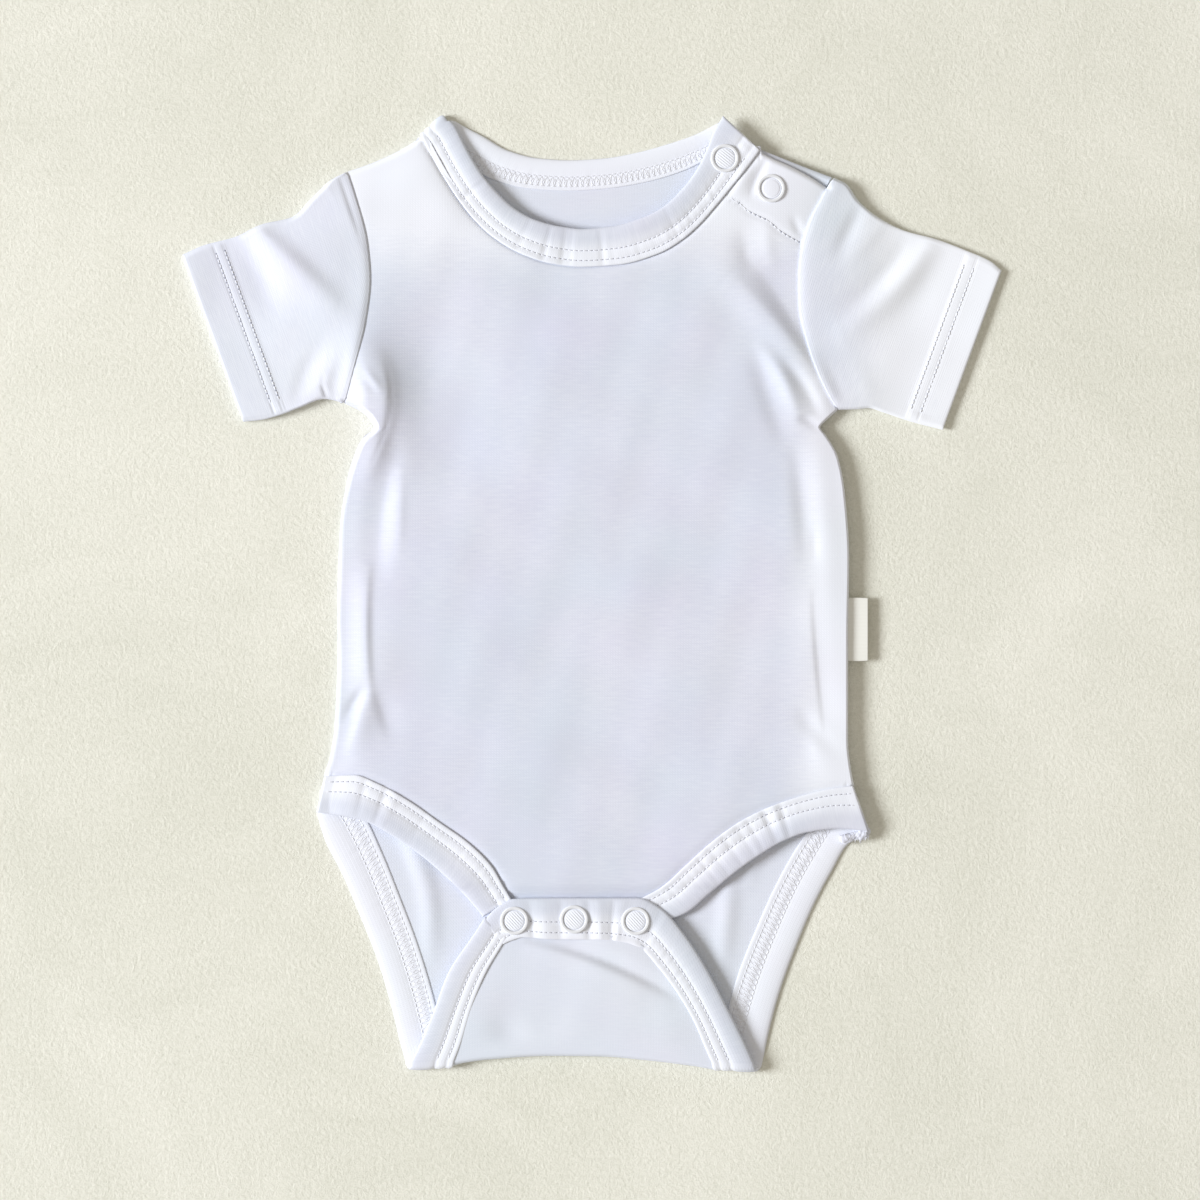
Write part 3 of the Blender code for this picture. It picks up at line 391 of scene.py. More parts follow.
NECK_BINDING_BACK = table(
    "seam_x seam_y free_x free_y",
    (-62.2, 166.4, -52.2, 175.0),
    (-55.5, 161.6, -47.3, 172.0),
    (-46.0, 156.6, -40.2, 168.3),
    (-36.0, 152.0, -31.0, 163.1),
    (-23.0, 148.9, -19.5, 160.2),
    (-9.0, 148.1, -8.0, 159.5),
    (5.0, 148.9, 4.5, 160.2),
    (19.0, 151.1, 16.5, 162.3),
    (32.6, 155.0, 28.5, 165.6),
    (43.0, 159.8, 38.1, 168.9),
    (54.6, 166.0, 47.0, 173.4),
)
BACK_LEG_BINDING_LEFT = table(
    "seam_x seam_y free_x free_y",
    (-99.0, -68.5, -101.9, -81.9),
    (-85.9, -80.4, -98.9, -91.9),
    (-78.1, -95.9, -92.2, -105.2),
    (-71.1, -113.3, -85.6, -120.7),
    (-64.4, -131.1, -79.3, -136.7),
    (-59.3, -147.8, -74.8, -151.5),
    (-55.6, -162.6, -71.1, -166.4),
    (-53.0, -173.7, -69.0, -174.2),
)
BACK_LEG_BINDING_RIGHT = table(
    "seam_x seam_y free_x free_y",
    (96.7, -72.6, 102.6, -89.3),
    (86.5, -80.5, 94.8, -93.7),
    (77.0, -93.0, 89.0, -103.3),
    (68.0, -109.0, 81.9, -116.7),
    (60.8, -125.0, 75.2, -132.6),
    (54.6, -140.5, 69.6, -148.1),
    (50.2, -155.0, 65.9, -161.5),
    (46.2, -174.5, 63.0, -174.9),
)
FLAP_BINDING_LEFT = table(
    "seam_x seam_y free_x free_y",
    (-51.0, -173.7, -67.0, -174.2),
    (-48.6, -167.6, -64.6, -169.6),
    (-44.3, -153.4, -58.3, -154.6),
    (-38.9, -140.6, -53.3, -141.4),
    (-33.6, -131.6, -41.6, -124.0),
)
FLAP_BINDING_RIGHT = table(
    "seam_x seam_y free_x free_y",
    (44.4, -174.5, 60.0, -174.9),
    (42.0, -169.2, 56.3, -166.7),
    (37.6, -159.0, 49.6, -153.3),
    (31.4, -148.4, 42.2, -139.3),
    (24.4, -139.0, 33.7, -126.3),
    (18.2, -132.4, 25.8, -117.6),
    (12.5, -130.0, 17.0, -113.5),
    (3.3, -128.9, 3.0, -113.5),
    (-15.6, -128.7, -15.6, -113.5),
    (-25.0, -128.0, -28.3, -113.7),
    (-30.0, -129.3, -36.4, -117.9),
    (-32.9, -130.6, -40.6, -123.0),
)
FLAP_SIDE_RIGHT = {name: column[:6] for name, column in FLAP_BINDING_RIGHT.items()}
BACK_ROWS = table(
    "cell left_y right_y",
    (0, 155.2, 153.0),
    (9, 69.6, 67.0),
    (10, 66.0, 64.5),
    (11, 60.4, 60.4),
    (12, 54.0, 53.0),
    (20, -67.3, -71.3),
)
BACK_COLUMNS = table(
    "cell low_share top_share",
    (0, 0.0, 0.0),
    (1, 0.012, 0.012),
    (5, 0.2, 0.1466),
    (15, 0.8, 0.8112),
    (18, 0.988, 0.988),
    (19, 1.0, 1.0),
)
# Rows down the body, along the legs, round the crotch fold and up the flap, and columns across
BACK_BODY_ROWS = 20
BACK_LEG_ROWS = 9
BACK_TURN_ROWS = 5
FLAP_ROWS = 6
BACK_DOWN = BACK_BODY_ROWS + BACK_LEG_ROWS + BACK_TURN_ROWS + FLAP_ROWS
BACK_ACROSS = 19
# The power by which rows bend to a panel's ends, and the shape of its corners and of a sharp fold
ROW_BEND = 3
CORNER_REACH = 0.1
INSET = 0.6
SQUARE_FOLD = 0.6
# How far in the back's own folds fade, the swell under the shoulder flap, and the cloth a mesh row takes
BACK_FOLD_FADE = 6.0
SHOULDER_LIFT = 1.9
SHOULDER_LIFT_WIDTH = 6.0
CLOTH_STEP = 1.45

# Folds of the flap, and of the back's inner side in the leg openings
FLAP_FOLDS = table(
    "x0 y0 x1 y1 x2 y2 west east rise",
    (-25.0, -129.0, 1.5, -132.2, 33.0, -151.0, 0.9, 4.0, -1.1),
    (-25.0, -131.2, 0.5, -135.2, 30.5, -153.2, 4.5, 1.3, 0.6),
    (-34.1, -158.9, -30.4, -164.4, -26.7, -170.0, 5.5, 5.5, -0.5),
    (-20.0, -165.0, 0.0, -167.0, 25.0, -167.0, 6.0, 6.0, 0.5),
    (-12.0, -150.0, 4.0, -153.0, 18.0, -158.0, 6.0, 6.0, -0.25),
)
BACK_FOLDS = table(
    "x0 y0 x1 y1 x2 y2 west east rise",
    (-66.0, -92.0, -58.0, -112.0, -60.0, -136.0, 3.6, 3.6, 0.9),
    (-74.0, -82.0, -66.0, -94.0, -63.0, -108.0, 3.0, 3.0, 0.6),
    (52.0, -98.0, 50.0, -120.0, 48.0, -140.0, 3.6, 3.6, 0.8),
    (64.0, -88.0, 60.0, -98.0, 57.0, -110.0, 3.0, 3.0, 0.5),
    (-34.0, 142.0, 0.0, 139.0, 34.0, 144.0, 4.0, 4.0, 0.35),
)


def bent_rows(left_y, right_y, across, low_y, top_y):
    """Rows that are straight in mid panel and bend more and more towards the shapes of its two ends."""
    straight = left_y + (right_y - left_y) * across
    low = left_y.min() + (right_y.min() - left_y.min()) * across
    top = left_y.max() + (right_y.max() - left_y.max()) * across
    share = (straight - low) / (top - low)
    return straight + (top_y - top) * share**ROW_BEND + (low_y - low) * (1 - share) ** ROW_BEND


def body_side(y, side_edge, armhole):
    """One side of a body panel at the height y: its side seam, then its armhole."""
    return np.where(y > armhole["y"][0], x_at(armhole, y), x_at(side_edge, y))


def edge_over_x(points_x, points_y, x):
    """How high a line given by its points is at x."""
    order = np.argsort(points_x)
    return np.interp(x, points_x[order], points_y[order])


def back_panel_points(u, v):
    """Rows run down the back to the fold at the crotch, round it in a half circle, and up the flap."""
    row = v * BACK_DOWN
    legs = np.clip((row - BACK_BODY_ROWS) / BACK_LEG_ROWS, 0, 1)
    turn = np.clip((row - BACK_BODY_ROWS - BACK_LEG_ROWS) / BACK_TURN_ROWS, 0, 1)
    flap = np.clip((row - BACK_DOWN + FLAP_ROWS) / FLAP_ROWS, 0, 1)
    body_left = stations(BACK_ROWS, "left_y", row)
    body_right = stations(BACK_ROWS, "right_y", row)
    leg_left_x, leg_left_y = under_lap(BACK_LEG_BINDING_LEFT, legs)
    leg_right_x, leg_right_y = under_lap(BACK_LEG_BINDING_RIGHT, legs)
    flap_left_x, flap_left_y = under_lap(FLAP_BINDING_LEFT, flap)
    flap_right_x, flap_right_y = under_lap(FLAP_SIDE_RIGHT, flap)
    at_hip = 1 - ease(legs * 4)
    left_step = body_left.min() - leg_left_y[legs == 0].max()
    right_step = body_right.min() - leg_right_y[legs == 0].max()
    left_y = np.where(legs > 0, leg_left_y + at_hip * left_step, body_left)
    right_y = np.where(legs > 0, leg_right_y + at_hip * right_step, body_right)
    inset = INSET * at_hip
    left = np.where(legs > 0, leg_left_x, body_side(body_left, LEFT_SIDE, LEFT_ARMHOLE)) + inset
    right = np.where(legs > 0, leg_right_x, body_side(body_right, RIGHT_SIDE, RIGHT_ARMHOLE)) - inset
    left += (flap_left_x - left) * turn
    right += (flap_right_x - right) * turn

    cell = u * BACK_COLUMNS["cell"][-1]
    top_share = stations(BACK_COLUMNS, "top_share", cell)
    low_share = stations(BACK_COLUMNS, "low_share", cell)
    share = top_share + (low_share - top_share) * (body_left.max() - body_left) / np.ptp(body_left)
    x = left + (right - left) * share

    top_x = LEFT_SHOULDER["x"][0] + (RIGHT_SHOULDER_BACK["x"][-1] - LEFT_SHOULDER["x"][0]) * top_share
    neckline = edge_over_x(*under_lap(NECK_BINDING_BACK, np.linspace(0, 1, 90)), top_x)
    top_y = np.where(top_x < LEFT_SHOULDER["x"][-1], y_at(LEFT_SHOULDER, top_x), neckline)
    on_shoulder = top_x > RIGHT_SHOULDER_BACK["x"][0] - CORNER_REACH
    top_y = np.where(on_shoulder, y_at(RIGHT_SHOULDER_BACK, top_x), top_y)

    radius = LEVEL / 2
    fold_left, fold_right = BACK_LEG_BINDING_LEFT["seam_x"][-1], BACK_LEG_BINDING_RIGHT["seam_x"][-1]
    fold_x = fold_left + (fold_right - fold_left) * low_share
    fold_y = y_at(FOLD_LINE, fold_x) + radius
    end_left, end_right = FLAP_BINDING_LEFT["seam_x"][-1], FLAP_SIDE_RIGHT["seam_x"][-1]
    end_x = end_left + (end_right - end_left) * low_share
    end_y = y_at(FLAP_TOP, end_x) + LAP
    y = np.where(
        flap > 0,
        bent_rows(flap_left_y, flap_right_y, low_share, fold_y, end_y),
        bent_rows(left_y, right_y, share, fold_y, top_y),
    )
    y -= radius * np.clip(np.sin(math.pi * turn), 0, 1) ** SQUARE_FOLD
    z = radius * (1 - np.cos(math.pi * turn))
    soft = ease(flap * 5)
    z += soft * (fold_rise(FLAP_FOLDS, x, y) + slack(x, y))
    inside = (1 - ease(turn * 20)) * ease((x - left) / BACK_FOLD_FADE)
    inside = inside * ease((right - x) / BACK_FOLD_FADE)
    z += inside * np.maximum(fold_rise(BACK_FOLDS, x, y), 0)
    near_shoulder = np.exp(-((distance(RIGHT_SHOULDER_BACK, x, y) / SHOULDER_LIFT_WIDTH) ** 2))
    z += SHOULDER_LIFT * near_shoulder * (row < BACK_BODY_ROWS)
    return x, y, z


u, v = grid(BACK_ACROSS * 7, BACK_DOWN * 6)
x, y, z = back_panel_points(u, v)
back_panel = surface("back_panel_cloth", x, y, z, x, np.cumsum(np.full(y.shape, CLOTH_STEP), axis=0))
wall(back_panel, JERSEY)
back_jersey = jersey("back_jersey_knit", "#e9edf6", "#dee3ef")
back_panel.data.materials.append(back_jersey)
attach(back_panel, "root")
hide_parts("back_panel")

# Sleeves: two short set-in sleeves, each one piece of jersey closed to a tube by an underarm seam, sewn
# to the armhole by overlock, with a 14 mm hem turned in and held by two rows of needle stitches.
# Heights of the seams and folds that the front layer rolls down to, at most FOLD_SHARE of its level
SEAM_HEIGHT = 1.9
BODY_SEAM_HEIGHT = 1.4
FLAP_EDGE_HEIGHT = 3.7
UNDERARM_HEIGHT = 2.9
FOLD_SHARE = 0.7
# The front layer comes down towards the crotch and both cuffs: how deep, from where and how far
CROTCH_DIP = 2.4
CROTCH_DIP_START = -107.0
CROTCH_DIP_RUN = 6.5
LEFT_CUFF_DIP = 2.4
LEFT_DIP_START = 92.0
LEFT_DIP_RUN = 50.0
RIGHT_CUFF_DIP = 2.8
RIGHT_DIP_START = 78.0
RIGHT_DIP_RUN = 48.0
RIGHT_DIP_LOW = 42.0
RIGHT_DIP_RISE = 22.0
# The hem: its second layer, the groove of a needle row, the puckers and the rolled lip of the cuff
HEM_STEP = 0.35
HEM_STEP_RUN = 1.2
HEM_GROOVE = 0.24
HEM_GROOVE_WIDTH = 0.5
HEM_THREAD_SINK = 0.16
HEM_PUCKER = 0.07
HEM_PUCKER_WIDTH = 4.0
CUFF_LIP = 0.35
CUFF_FLARE_RUN = 14.0
LEFT_SLEEVE_TOP = table(
    "x y",
    (-90.7, 155.2),
    (-96.7, 152.0),
    (-103.7, 145.4),
    (-111.0, 138.4),
    (-122.2, 135.7),
    (-131.9, 131.1),
    (-144.1, 127.8),
    (-151.6, 124.4),
)
LEFT_SLEEVE_UNDER = table(
    "x y", (-91.9, 69.6), (-98.9, 71.0), (-108.1, 67.8), (-115.6, 65.0), (-122.2, 63.3), (-129.0, 62.6)
)
RIGHT_SLEEVE_TOP = table(
    "x y",
    (89.4, 153.0),
    (94.1, 150.6),
    (98.6, 144.4),
    (105.0, 138.9),
    (115.0, 133.6),
    (127.4, 130.2),
    (138.1, 126.2),
    (147.6, 122.0),
    (151.6, 118.6),
)
RIGHT_SLEEVE_UNDER = table(
    "x y", (91.1, 67.0), (98.1, 67.2), (102.2, 67.6), (107.8, 66.0), (118.1, 62.6), (129.8, 59.6)
)
RIGHT_SHOULDER_FRONT = table(
    "x y", (62.8, 161.9), (66.7, 159.9), (73.3, 157.0), (81.9, 152.4), (87.2, 148.9)
)

# Creases and folds of the front layer: ridges are raised and troughs are sunk by rise
FOLDS = table(
    "x0 y0 x1 y1 x2 y2 west east rise",
    (-130.4, 140.4, -113.3, 121.9, -89.6, 103.3, 8.0, 3.0, 1.2),
    (-130.4, 140.4, -113.3, 121.9, -89.6, 103.3, 8.0, 11.0, 1),
    (-118.5, 138.1, -102.2, 121.1, -88.9, 107.0, 3.0, 6.0, -0.4),
    (-132.6, 136.7, -123.7, 121.9, -116.3, 99.6, 5.5, 5.0, -0.9),
    (-109.3, 69.3, -107.8, 80.4, -99.3, 90.7, 3.0, 3.6, -0.6),
    (-100.0, 69.3, -99.6, 78.9, -93.3, 90.0, 4.5, 3.0, 0.8),
    (-100.0, 76.7, -98.9, 74.1, -98.1, 71.1, 0.9, 1.2, -0.5),
    (-94.4, 156.7, -88.9, 141.1, -85.2, 130.0, 1.0, 2.4, -0.5),
    (126.7, 131.5, 118.5, 113.0, 89.6, 94.1, 3.6, 4.6, 1.3),
    (116.3, 130.0, 111.9, 117.4, 90.4, 101.1, 4.0, 2.4, -0.5),
    (134.8, 127.8, 118.1, 104.1, 101.5, 87.0, 6.5, 6.5, -0.4),
    (99.3, 141.9, 95.6, 133.0, 90.4, 124.8, 3.0, 3.0, -0.7),
    (108.1, 136.7, 101.5, 128.5, 94.1, 121.9, 3.0, 3.0, 0.3),
    (102.2, 69.3, 101.5, 78.1, 95.6, 85.6, 4.0, 4.0, 0.25),
    (93.0, 68.5, 91.1, 76.3, 85.9, 83.3, 3.0, 3.0, -0.35),
    (-85.2, 91.5, -80.0, 70.0, -86.7, 49.3, 2.6, 5.0, 0.5),
    (-87.4, 93.0, -78.9, 70.0, -88.9, 44.1, 8.0, 13.0, 4),
    (-79.6, 88.5, -70.4, 70.0, -83.7, 40.4, 4.2, 3.2, 1.1),
    (-60.0, 98.1, -54.8, 70.7, -62.2, 43.3, 15.0, 22.0, -1.8),
    (-77.0, 84.8, -69.6, 70.0, -82.2, 45.6, 0.7, 1.0, -0.3),
    (-72.6, 53.7, -80.0, 33.0, -79.6, 4.1, 7.5, 4.6, -1.9),
    (-71.1, 45.6, -70.4, 30.0, -71.5, 12.2, 3.0, 2.0, 0.3),
    (-82.6, 10.7, -85.2, -13.7, -81.9, -42.6, 4.5, 1.9, 1),
    (-83.7, -35.6, -87.0, -39.6, -91.1, -46.7, 2.0, 2.4, -0.9),
    (-83.0, -38.1, -85.2, -48.5, -89.6, -59.6, 2.2, 4.5, 0.8),
    (-79.3, -36.7, -77.0, -44.8, -74.4, -52.6, 2.4, 5.0, -0.6),
    (-83.7, 81.5, -80.7, 77.4, -77.8, 74.1, 0.8, 1.3, 0.6),
    (-85.9, 80.4, -82.6, 75.6, -79.3, 73.3, 1.3, 1.3, -0.4),
    (-88.1, 60.4, -83.7, 64.8, -78.9, 58.1, 1.2, 1.2, 0.9),
    (48.1, 118.9, 67.8, 101.5, 88.9, 70.0, 7.0, 4.0, 1.4),
    (54.8, 127.0, 69.6, 112.2, 79.3, 92.2, 3.6, 10.0, -0.9),
    (61.5, 90.7, 72.6, 80.4, 77.0, 61.1, 3.0, 3.0, 1.1),
    (71.1, 84.8, 80.0, 76.7, 84.4, 62.6, 2.4, 2.4, -0.6),
    (60.7, 86.3, 64.4, 73.7, 71.1, 55.2, 3.6, 3.6, -0.7),
    (77.0, 63.3, 79.3, 64.1, 83.7, 60.4, 1.5, 1.5, -0.6),
    (75.2, 54.1, 78.1, 33.7, 79.3, 10.7, 3.4, 4.0, -0.7),
    (83.7, 56.7, 87.4, 26.3, 87.4, -4.1, 4.0, 5.0, 0.4),
    (81.9, 22.6, 82.6, 17.0, 82.2, 11.5, 1.6, 1.6, -0.2),
    (81.9, 1.1, 82.6, -23.7, 86.7, -54.4, 1.0, 5.0, -0.45),
    (77.0, -44.1, 81.1, -51.9, 91.1, -58.9, 3.0, 3.0, -0.5),
    (81.9, -48.5, 83.3, -55.9, 85.2, -64.8, 3.4, 6.0, 0.4),
    (55.6, 133.0, 57.0, 126.3, 57.8, 118.9, 3.0, 3.0, -0.35),
    (64.1, 136.7, 64.4, 128.1, 66.7, 118.9, 3.0, 3.0, 0.35),
    (64.8, 160.0, 60.7, 153.0, 58.5, 145.9, 1.5, 1.5, -0.7),
    (56.7, 157.8, 55.6, 152.2, 53.0, 146.7, 2.6, 2.6, 0.5),
    (74.1, 138.1, 75.9, 134.4, 77.8, 131.1, 1.5, 1.5, -0.5),
    (-60.7, 170.7, -54.1, 152.2, -37.0, 132.2, 5.5, 5.5, -0.6),
)

# The stitched line across the right shoulder, which holds the facing under the flap
FACING_LINE = table(
    "x y",
    (50.2, 145.7),
    (54.4, 143.3),
    (57.4, 140.7),
    (60.7, 138.9),
    (65.2, 136.7),
    (69.6, 133.0),
    (73.3, 130.7),
    (77.0, 128.7),
)

# Edges that the front layer rolls down to: their height, the width of the roll, and how deep and how
# far in the cloth beside them sags
ROLLED_EDGES = (
    (LEFT_SIDE, BODY_SEAM_HEIGHT, 2.0, 1.9, 9.0),
    (RIGHT_SIDE, BODY_SEAM_HEIGHT, 0.9, 0.0, 5.0),
    (LEFT_SHOULDER, BODY_SEAM_HEIGHT, 2.4, 1.4, 9.0),
    (RIGHT_SHOULDER_FRONT, FLAP_EDGE_HEIGHT, 2.0, 0.0, 5.0),
    (LEFT_SLEEVE_TOP, SEAM_HEIGHT, 2.0, 0.5, 9.0),
    (LEFT_SLEEVE_UNDER, UNDERARM_HEIGHT, 1.2, 0.0, 5.0),
    (RIGHT_SLEEVE_TOP, SEAM_HEIGHT, 1.4, 0.0, 7.0),
    (RIGHT_SLEEVE_UNDER, UNDERARM_HEIGHT, 1.2, 0.0, 5.0),
)
# The sleeves' folds: their height, and how far in the back layer lifts off the table
SLEEVE_FOLDS = (
    (LEFT_SLEEVE_TOP, SEAM_HEIGHT, 1.9),
    (LEFT_SLEEVE_UNDER, UNDERARM_HEIGHT, 3.2),
    (RIGHT_SLEEVE_TOP, SEAM_HEIGHT, 1.9),
    (RIGHT_SLEEVE_UNDER, UNDERARM_HEIGHT, 3.2),
)
FACING_GROOVE = 0.35
FACING_GROOVE_WIDTH = 0.7


def front_level(x, y):
    """Height of the smoothed front layer: level on the body, lower towards the crotch and both cuffs."""
    level = LEVEL - CROTCH_DIP * ease((CROTCH_DIP_START - y) / CROTCH_DIP_RUN)
    to_left = LEFT_CUFF_DIP * ease((-x - LEFT_DIP_START) / LEFT_DIP_RUN)
    to_right = RIGHT_CUFF_DIP * ease((x - RIGHT_DIP_START) / RIGHT_DIP_RUN)
    return level - to_left - to_right * ease((y - RIGHT_DIP_LOW) / RIGHT_DIP_RISE)


def front_skin(x, y):
    """Height of the front layer on body and sleeves: its level, less its rolls, folds and seams."""
    level = front_level(x, y)
    z = level.copy()
    hold = np.ones(np.shape(x))
    for edge, height, width, sag, sag_width in ROLLED_EDGES:
        away = distance(edge, x, y)
        share = np.clip(away / width, 0, 1)
        lying = level - sag * np.exp(-((away / sag_width) ** 2))
        height = np.minimum(height, FOLD_SHARE * level)
        z = np.minimum(z, height + (lying - height) * np.sqrt(1 - (1 - share) ** 2))
        hold = np.minimum(hold, ease(share))
    z += hold * (fold_rise(FOLDS, x, y) + slack(x, y))
    z -= FACING_GROOVE * np.exp(-((distance(FACING_LINE, x, y) / FACING_GROOVE_WIDTH) ** 2))
    return z


def back_skin(x, y):
    """Height of a sleeve's back layer, which lies flat and rolls up to its folds."""
    z = np.zeros(np.shape(x))
    for edge, height, lift_width in SLEEVE_FOLDS:
        share = np.clip(distance(edge, x, y) / lift_width, 0, 1)
        height = np.minimum(height, FOLD_SHARE * front_level(x, y))
        z = np.maximum(z, height * (1 - np.sqrt(1 - (1 - share) ** 2)))
    return z


def wander(s, seed, rise):
    """The small uneven pucker that sewing draws into cloth at the arc length s: waves 3 to 7 mm long."""
    waves = ((3.1, 0.9), (4.3, 2.0), (5.6, 3.7), (7.4, 5.1))
    swell = 0.6 + 0.4 * np.sin(s / 23.0 + seed)
    ripple = sum(np.sin(math.tau * s / length + phase + seed * 1.7) for length, phase in waves)
    return rise * swell * ripple / 2


def arc(x, y, z=0.0):
    """The arc length at each point of a line."""
    steps = np.sqrt(np.diff(x) ** 2 + np.diff(y) ** 2 + np.diff(np.broadcast_to(z, x.shape)) ** 2)
    return np.concatenate(([0.0], np.cumsum(steps)))


def threads(name, start, end, radius, material, flat, bulge):
    """One mesh of strands from start to end: tapered, round or flattened, and arched upwards by bulge."""
    stations_along = np.array([0.0, 0.12, 0.35, 0.65, 0.88, 1.0])
    swell = np.array([0.15, 0.8, 1.0, 1.0, 0.8, 0.15])
    around = np.arange(6) * math.tau / 6
    run_vector = end - start
    length = np.linalg.norm(run_vector, axis=1, keepdims=True)
    heading = run_vector / length
    sideways = np.cross(heading, [0.0, 0.0, 1.0])
    sideways /= np.linalg.norm(sideways, axis=1, keepdims=True) + 1e-9
    upwards = np.cross(sideways, heading)
    core = start[:, None] + run_vector[:, None] * stations_along[None, :, None]
    core[..., 2] += bulge * np.sin(math.pi * stations_along)[None, :]
    cosine, sine = np.cos(around)[None, :, None], np.sin(around)[None, :, None]
    ring = cosine * sideways[:, None] + flat * sine * upwards[:, None]
    points = core[:, :, None] + radius * swell[None, :, None, None] * ring[:, None]
    count, rows, columns = points.shape[:3]
    index = np.arange(count * rows * columns).reshape(count, rows, columns)
    turned = np.roll(index, -1, axis=2)
    corners = [index[:, :-1], turned[:, :-1], turned[:, 1:], index[:, 1:]]
    quads = np.stack(corners, axis=-1).reshape(-1, 4)
    caps = np.concatenate([index[:, 0, ::-1], index[:, -1]])
    mesh = bpy.data.meshes.new(name)
    mesh.from_pydata((points.reshape(-1, 3) * MM).tolist(), [], quads.tolist() + caps.tolist())
    mesh.shade_smooth()
    mesh.materials.append(material)
    piece = bpy.data.objects.new(name, mesh)
    bpy.context.scene.collection.objects.link(piece)
    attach(piece, "root")
    return piece


def sew(name, lines, pull=1.0):
    """A stitch row on each line of points: round threads, and between them flattened dark marks that paint
    the shade in the needle's dimples.

    A line is an array of points with the distance sewn to each of them. Both rows of a two-needle seam
    share those distances, so that their stitches stand side by side.
    """
    parts = {"threads": [], "hole_shades": []}
    for points, sewn in lines:
        middles = np.arange(sewn[0] + PITCH, sewn[-1] - PITCH / 2, PITCH)
        for part, from_share, to_share in (("threads", -0.34, 0.34), ("hole_shades", 0.36, 0.64)):
            places = [middles + PITCH * share for share in (from_share, to_share)]
            ends = [np.stack([np.interp(at, sewn, column) for column in points.T], axis=1) for at in places]
            parts[part].append(ends)
    made = []
    for part, material, radius, flat, bulge, lift in (
        ("threads", sewing_thread, THREAD, 0.8, 0.08, 0.03),
        ("hole_shades", needle_hole_shade, HOLE_SHADE * pull, 0.16, 0.0, 0.0),
    ):
        start, end = (np.concatenate(ends) + [0, 0, lift] for ends in zip(*parts[part]))
        made.append(threads(f"{name}_{part}", start, end, radius, material, flat, bulge))
    return made


def thread_material():
    """Spun polyester sewing thread, dyed to the cloth: two twisted plies, a little glossier than it."""
    material, tree, shader = new_material("sewing_thread")
    place = add(tree, "ShaderNodeTexCoord").outputs["Object"]
    ply = add(tree, "ShaderNodeTexNoise", _0=place, Scale=2600.0, Detail=2.0)
    bump = add(tree, "ShaderNodeBump", Height=ply.outputs["Fac"], Strength=0.4, Distance=0.00006)
    deep, pale = linear("#dfe1ea"), linear("#f3f4fa")
    colour = add(tree, "ShaderNodeMix", TWO_COLOURS, _0=ply.outputs["Fac"], _6=deep, _7=pale)
    tree.links.new(colour.outputs[2], shader.inputs["Base Color"])
    tree.links.new(bump.outputs["Normal"], shader.inputs["Normal"])
    shader.inputs["Roughness"].default_value = 0.6
    shader.inputs["Sheen Weight"].default_value = 0.1
    return material


def hole_shade_material():
    """Painted shade of the dimple where the needle drew the thread through soft cloth: the cloth's colour
    as it looks in shade.
    """
    material, tree, shader = new_material("needle_hole_shade")
    place = add(tree, "ShaderNodeTexCoord").outputs["Object"]
    vary = add(tree, "ShaderNodeTexNoise", _0=place, Scale=300.0, Detail=2.0)
    deep, pale = linear("#8b8e9c"), linear("#afb2bf")
    colour = add(tree, "ShaderNodeMix", TWO_COLOURS, _0=vary.outputs["Fac"], _6=deep, _7=pale)
    tree.links.new(colour.outputs[2], shader.inputs["Base Color"])
    shader.inputs["Roughness"].default_value = 1.0
    shader.inputs["Specular IOR Level"].default_value = 0.0
    return material


# Stitches: their length, the thread's radius, and the radius of the dark marks that paint the shade in each
# needle's dimple
PITCH = 1.9
THREAD = 0.19
HOLE_SHADE = 0.36
# Sleeve: its cells round the tube, how they close up at its folds, and how it meets the armhole
SLEEVE_AROUND = 22
SLEEVE_RIM_SHARES = (0.0, 0.004, 0.016, 0.04, 0.08)
SLEEVE_START = 0.0035
TUCKED = 0.6
TUCK_RUN = 0.02
SEAM_RISE_WIDTH = 6.0
SEAM_TURN_RUN = 1.1
needle_hole_shade = hole_shade_material()
sewing_thread = thread_material()
# Paler beyond 84 mm to the right: painted light that brightens the right sleeve, whose lowered cuff falls
# into shade
sleeve_jersey = jersey("sleeve_jersey_knit", "#f4f7fe", "#dfe3f0", (84.0, 116.0))


def cuff_distance(top, under, x, y):
    """How far a point is from the straight line of the cuff's edge."""
    run_x, run_y = top["x"][-1] - under["x"][-1], top["y"][-1] - under["y"][-1]
    product = (x - under["x"][-1]) * run_y - (y - under["y"][-1]) * run_x
    return np.abs(product) / math.hypot(run_x, run_y)


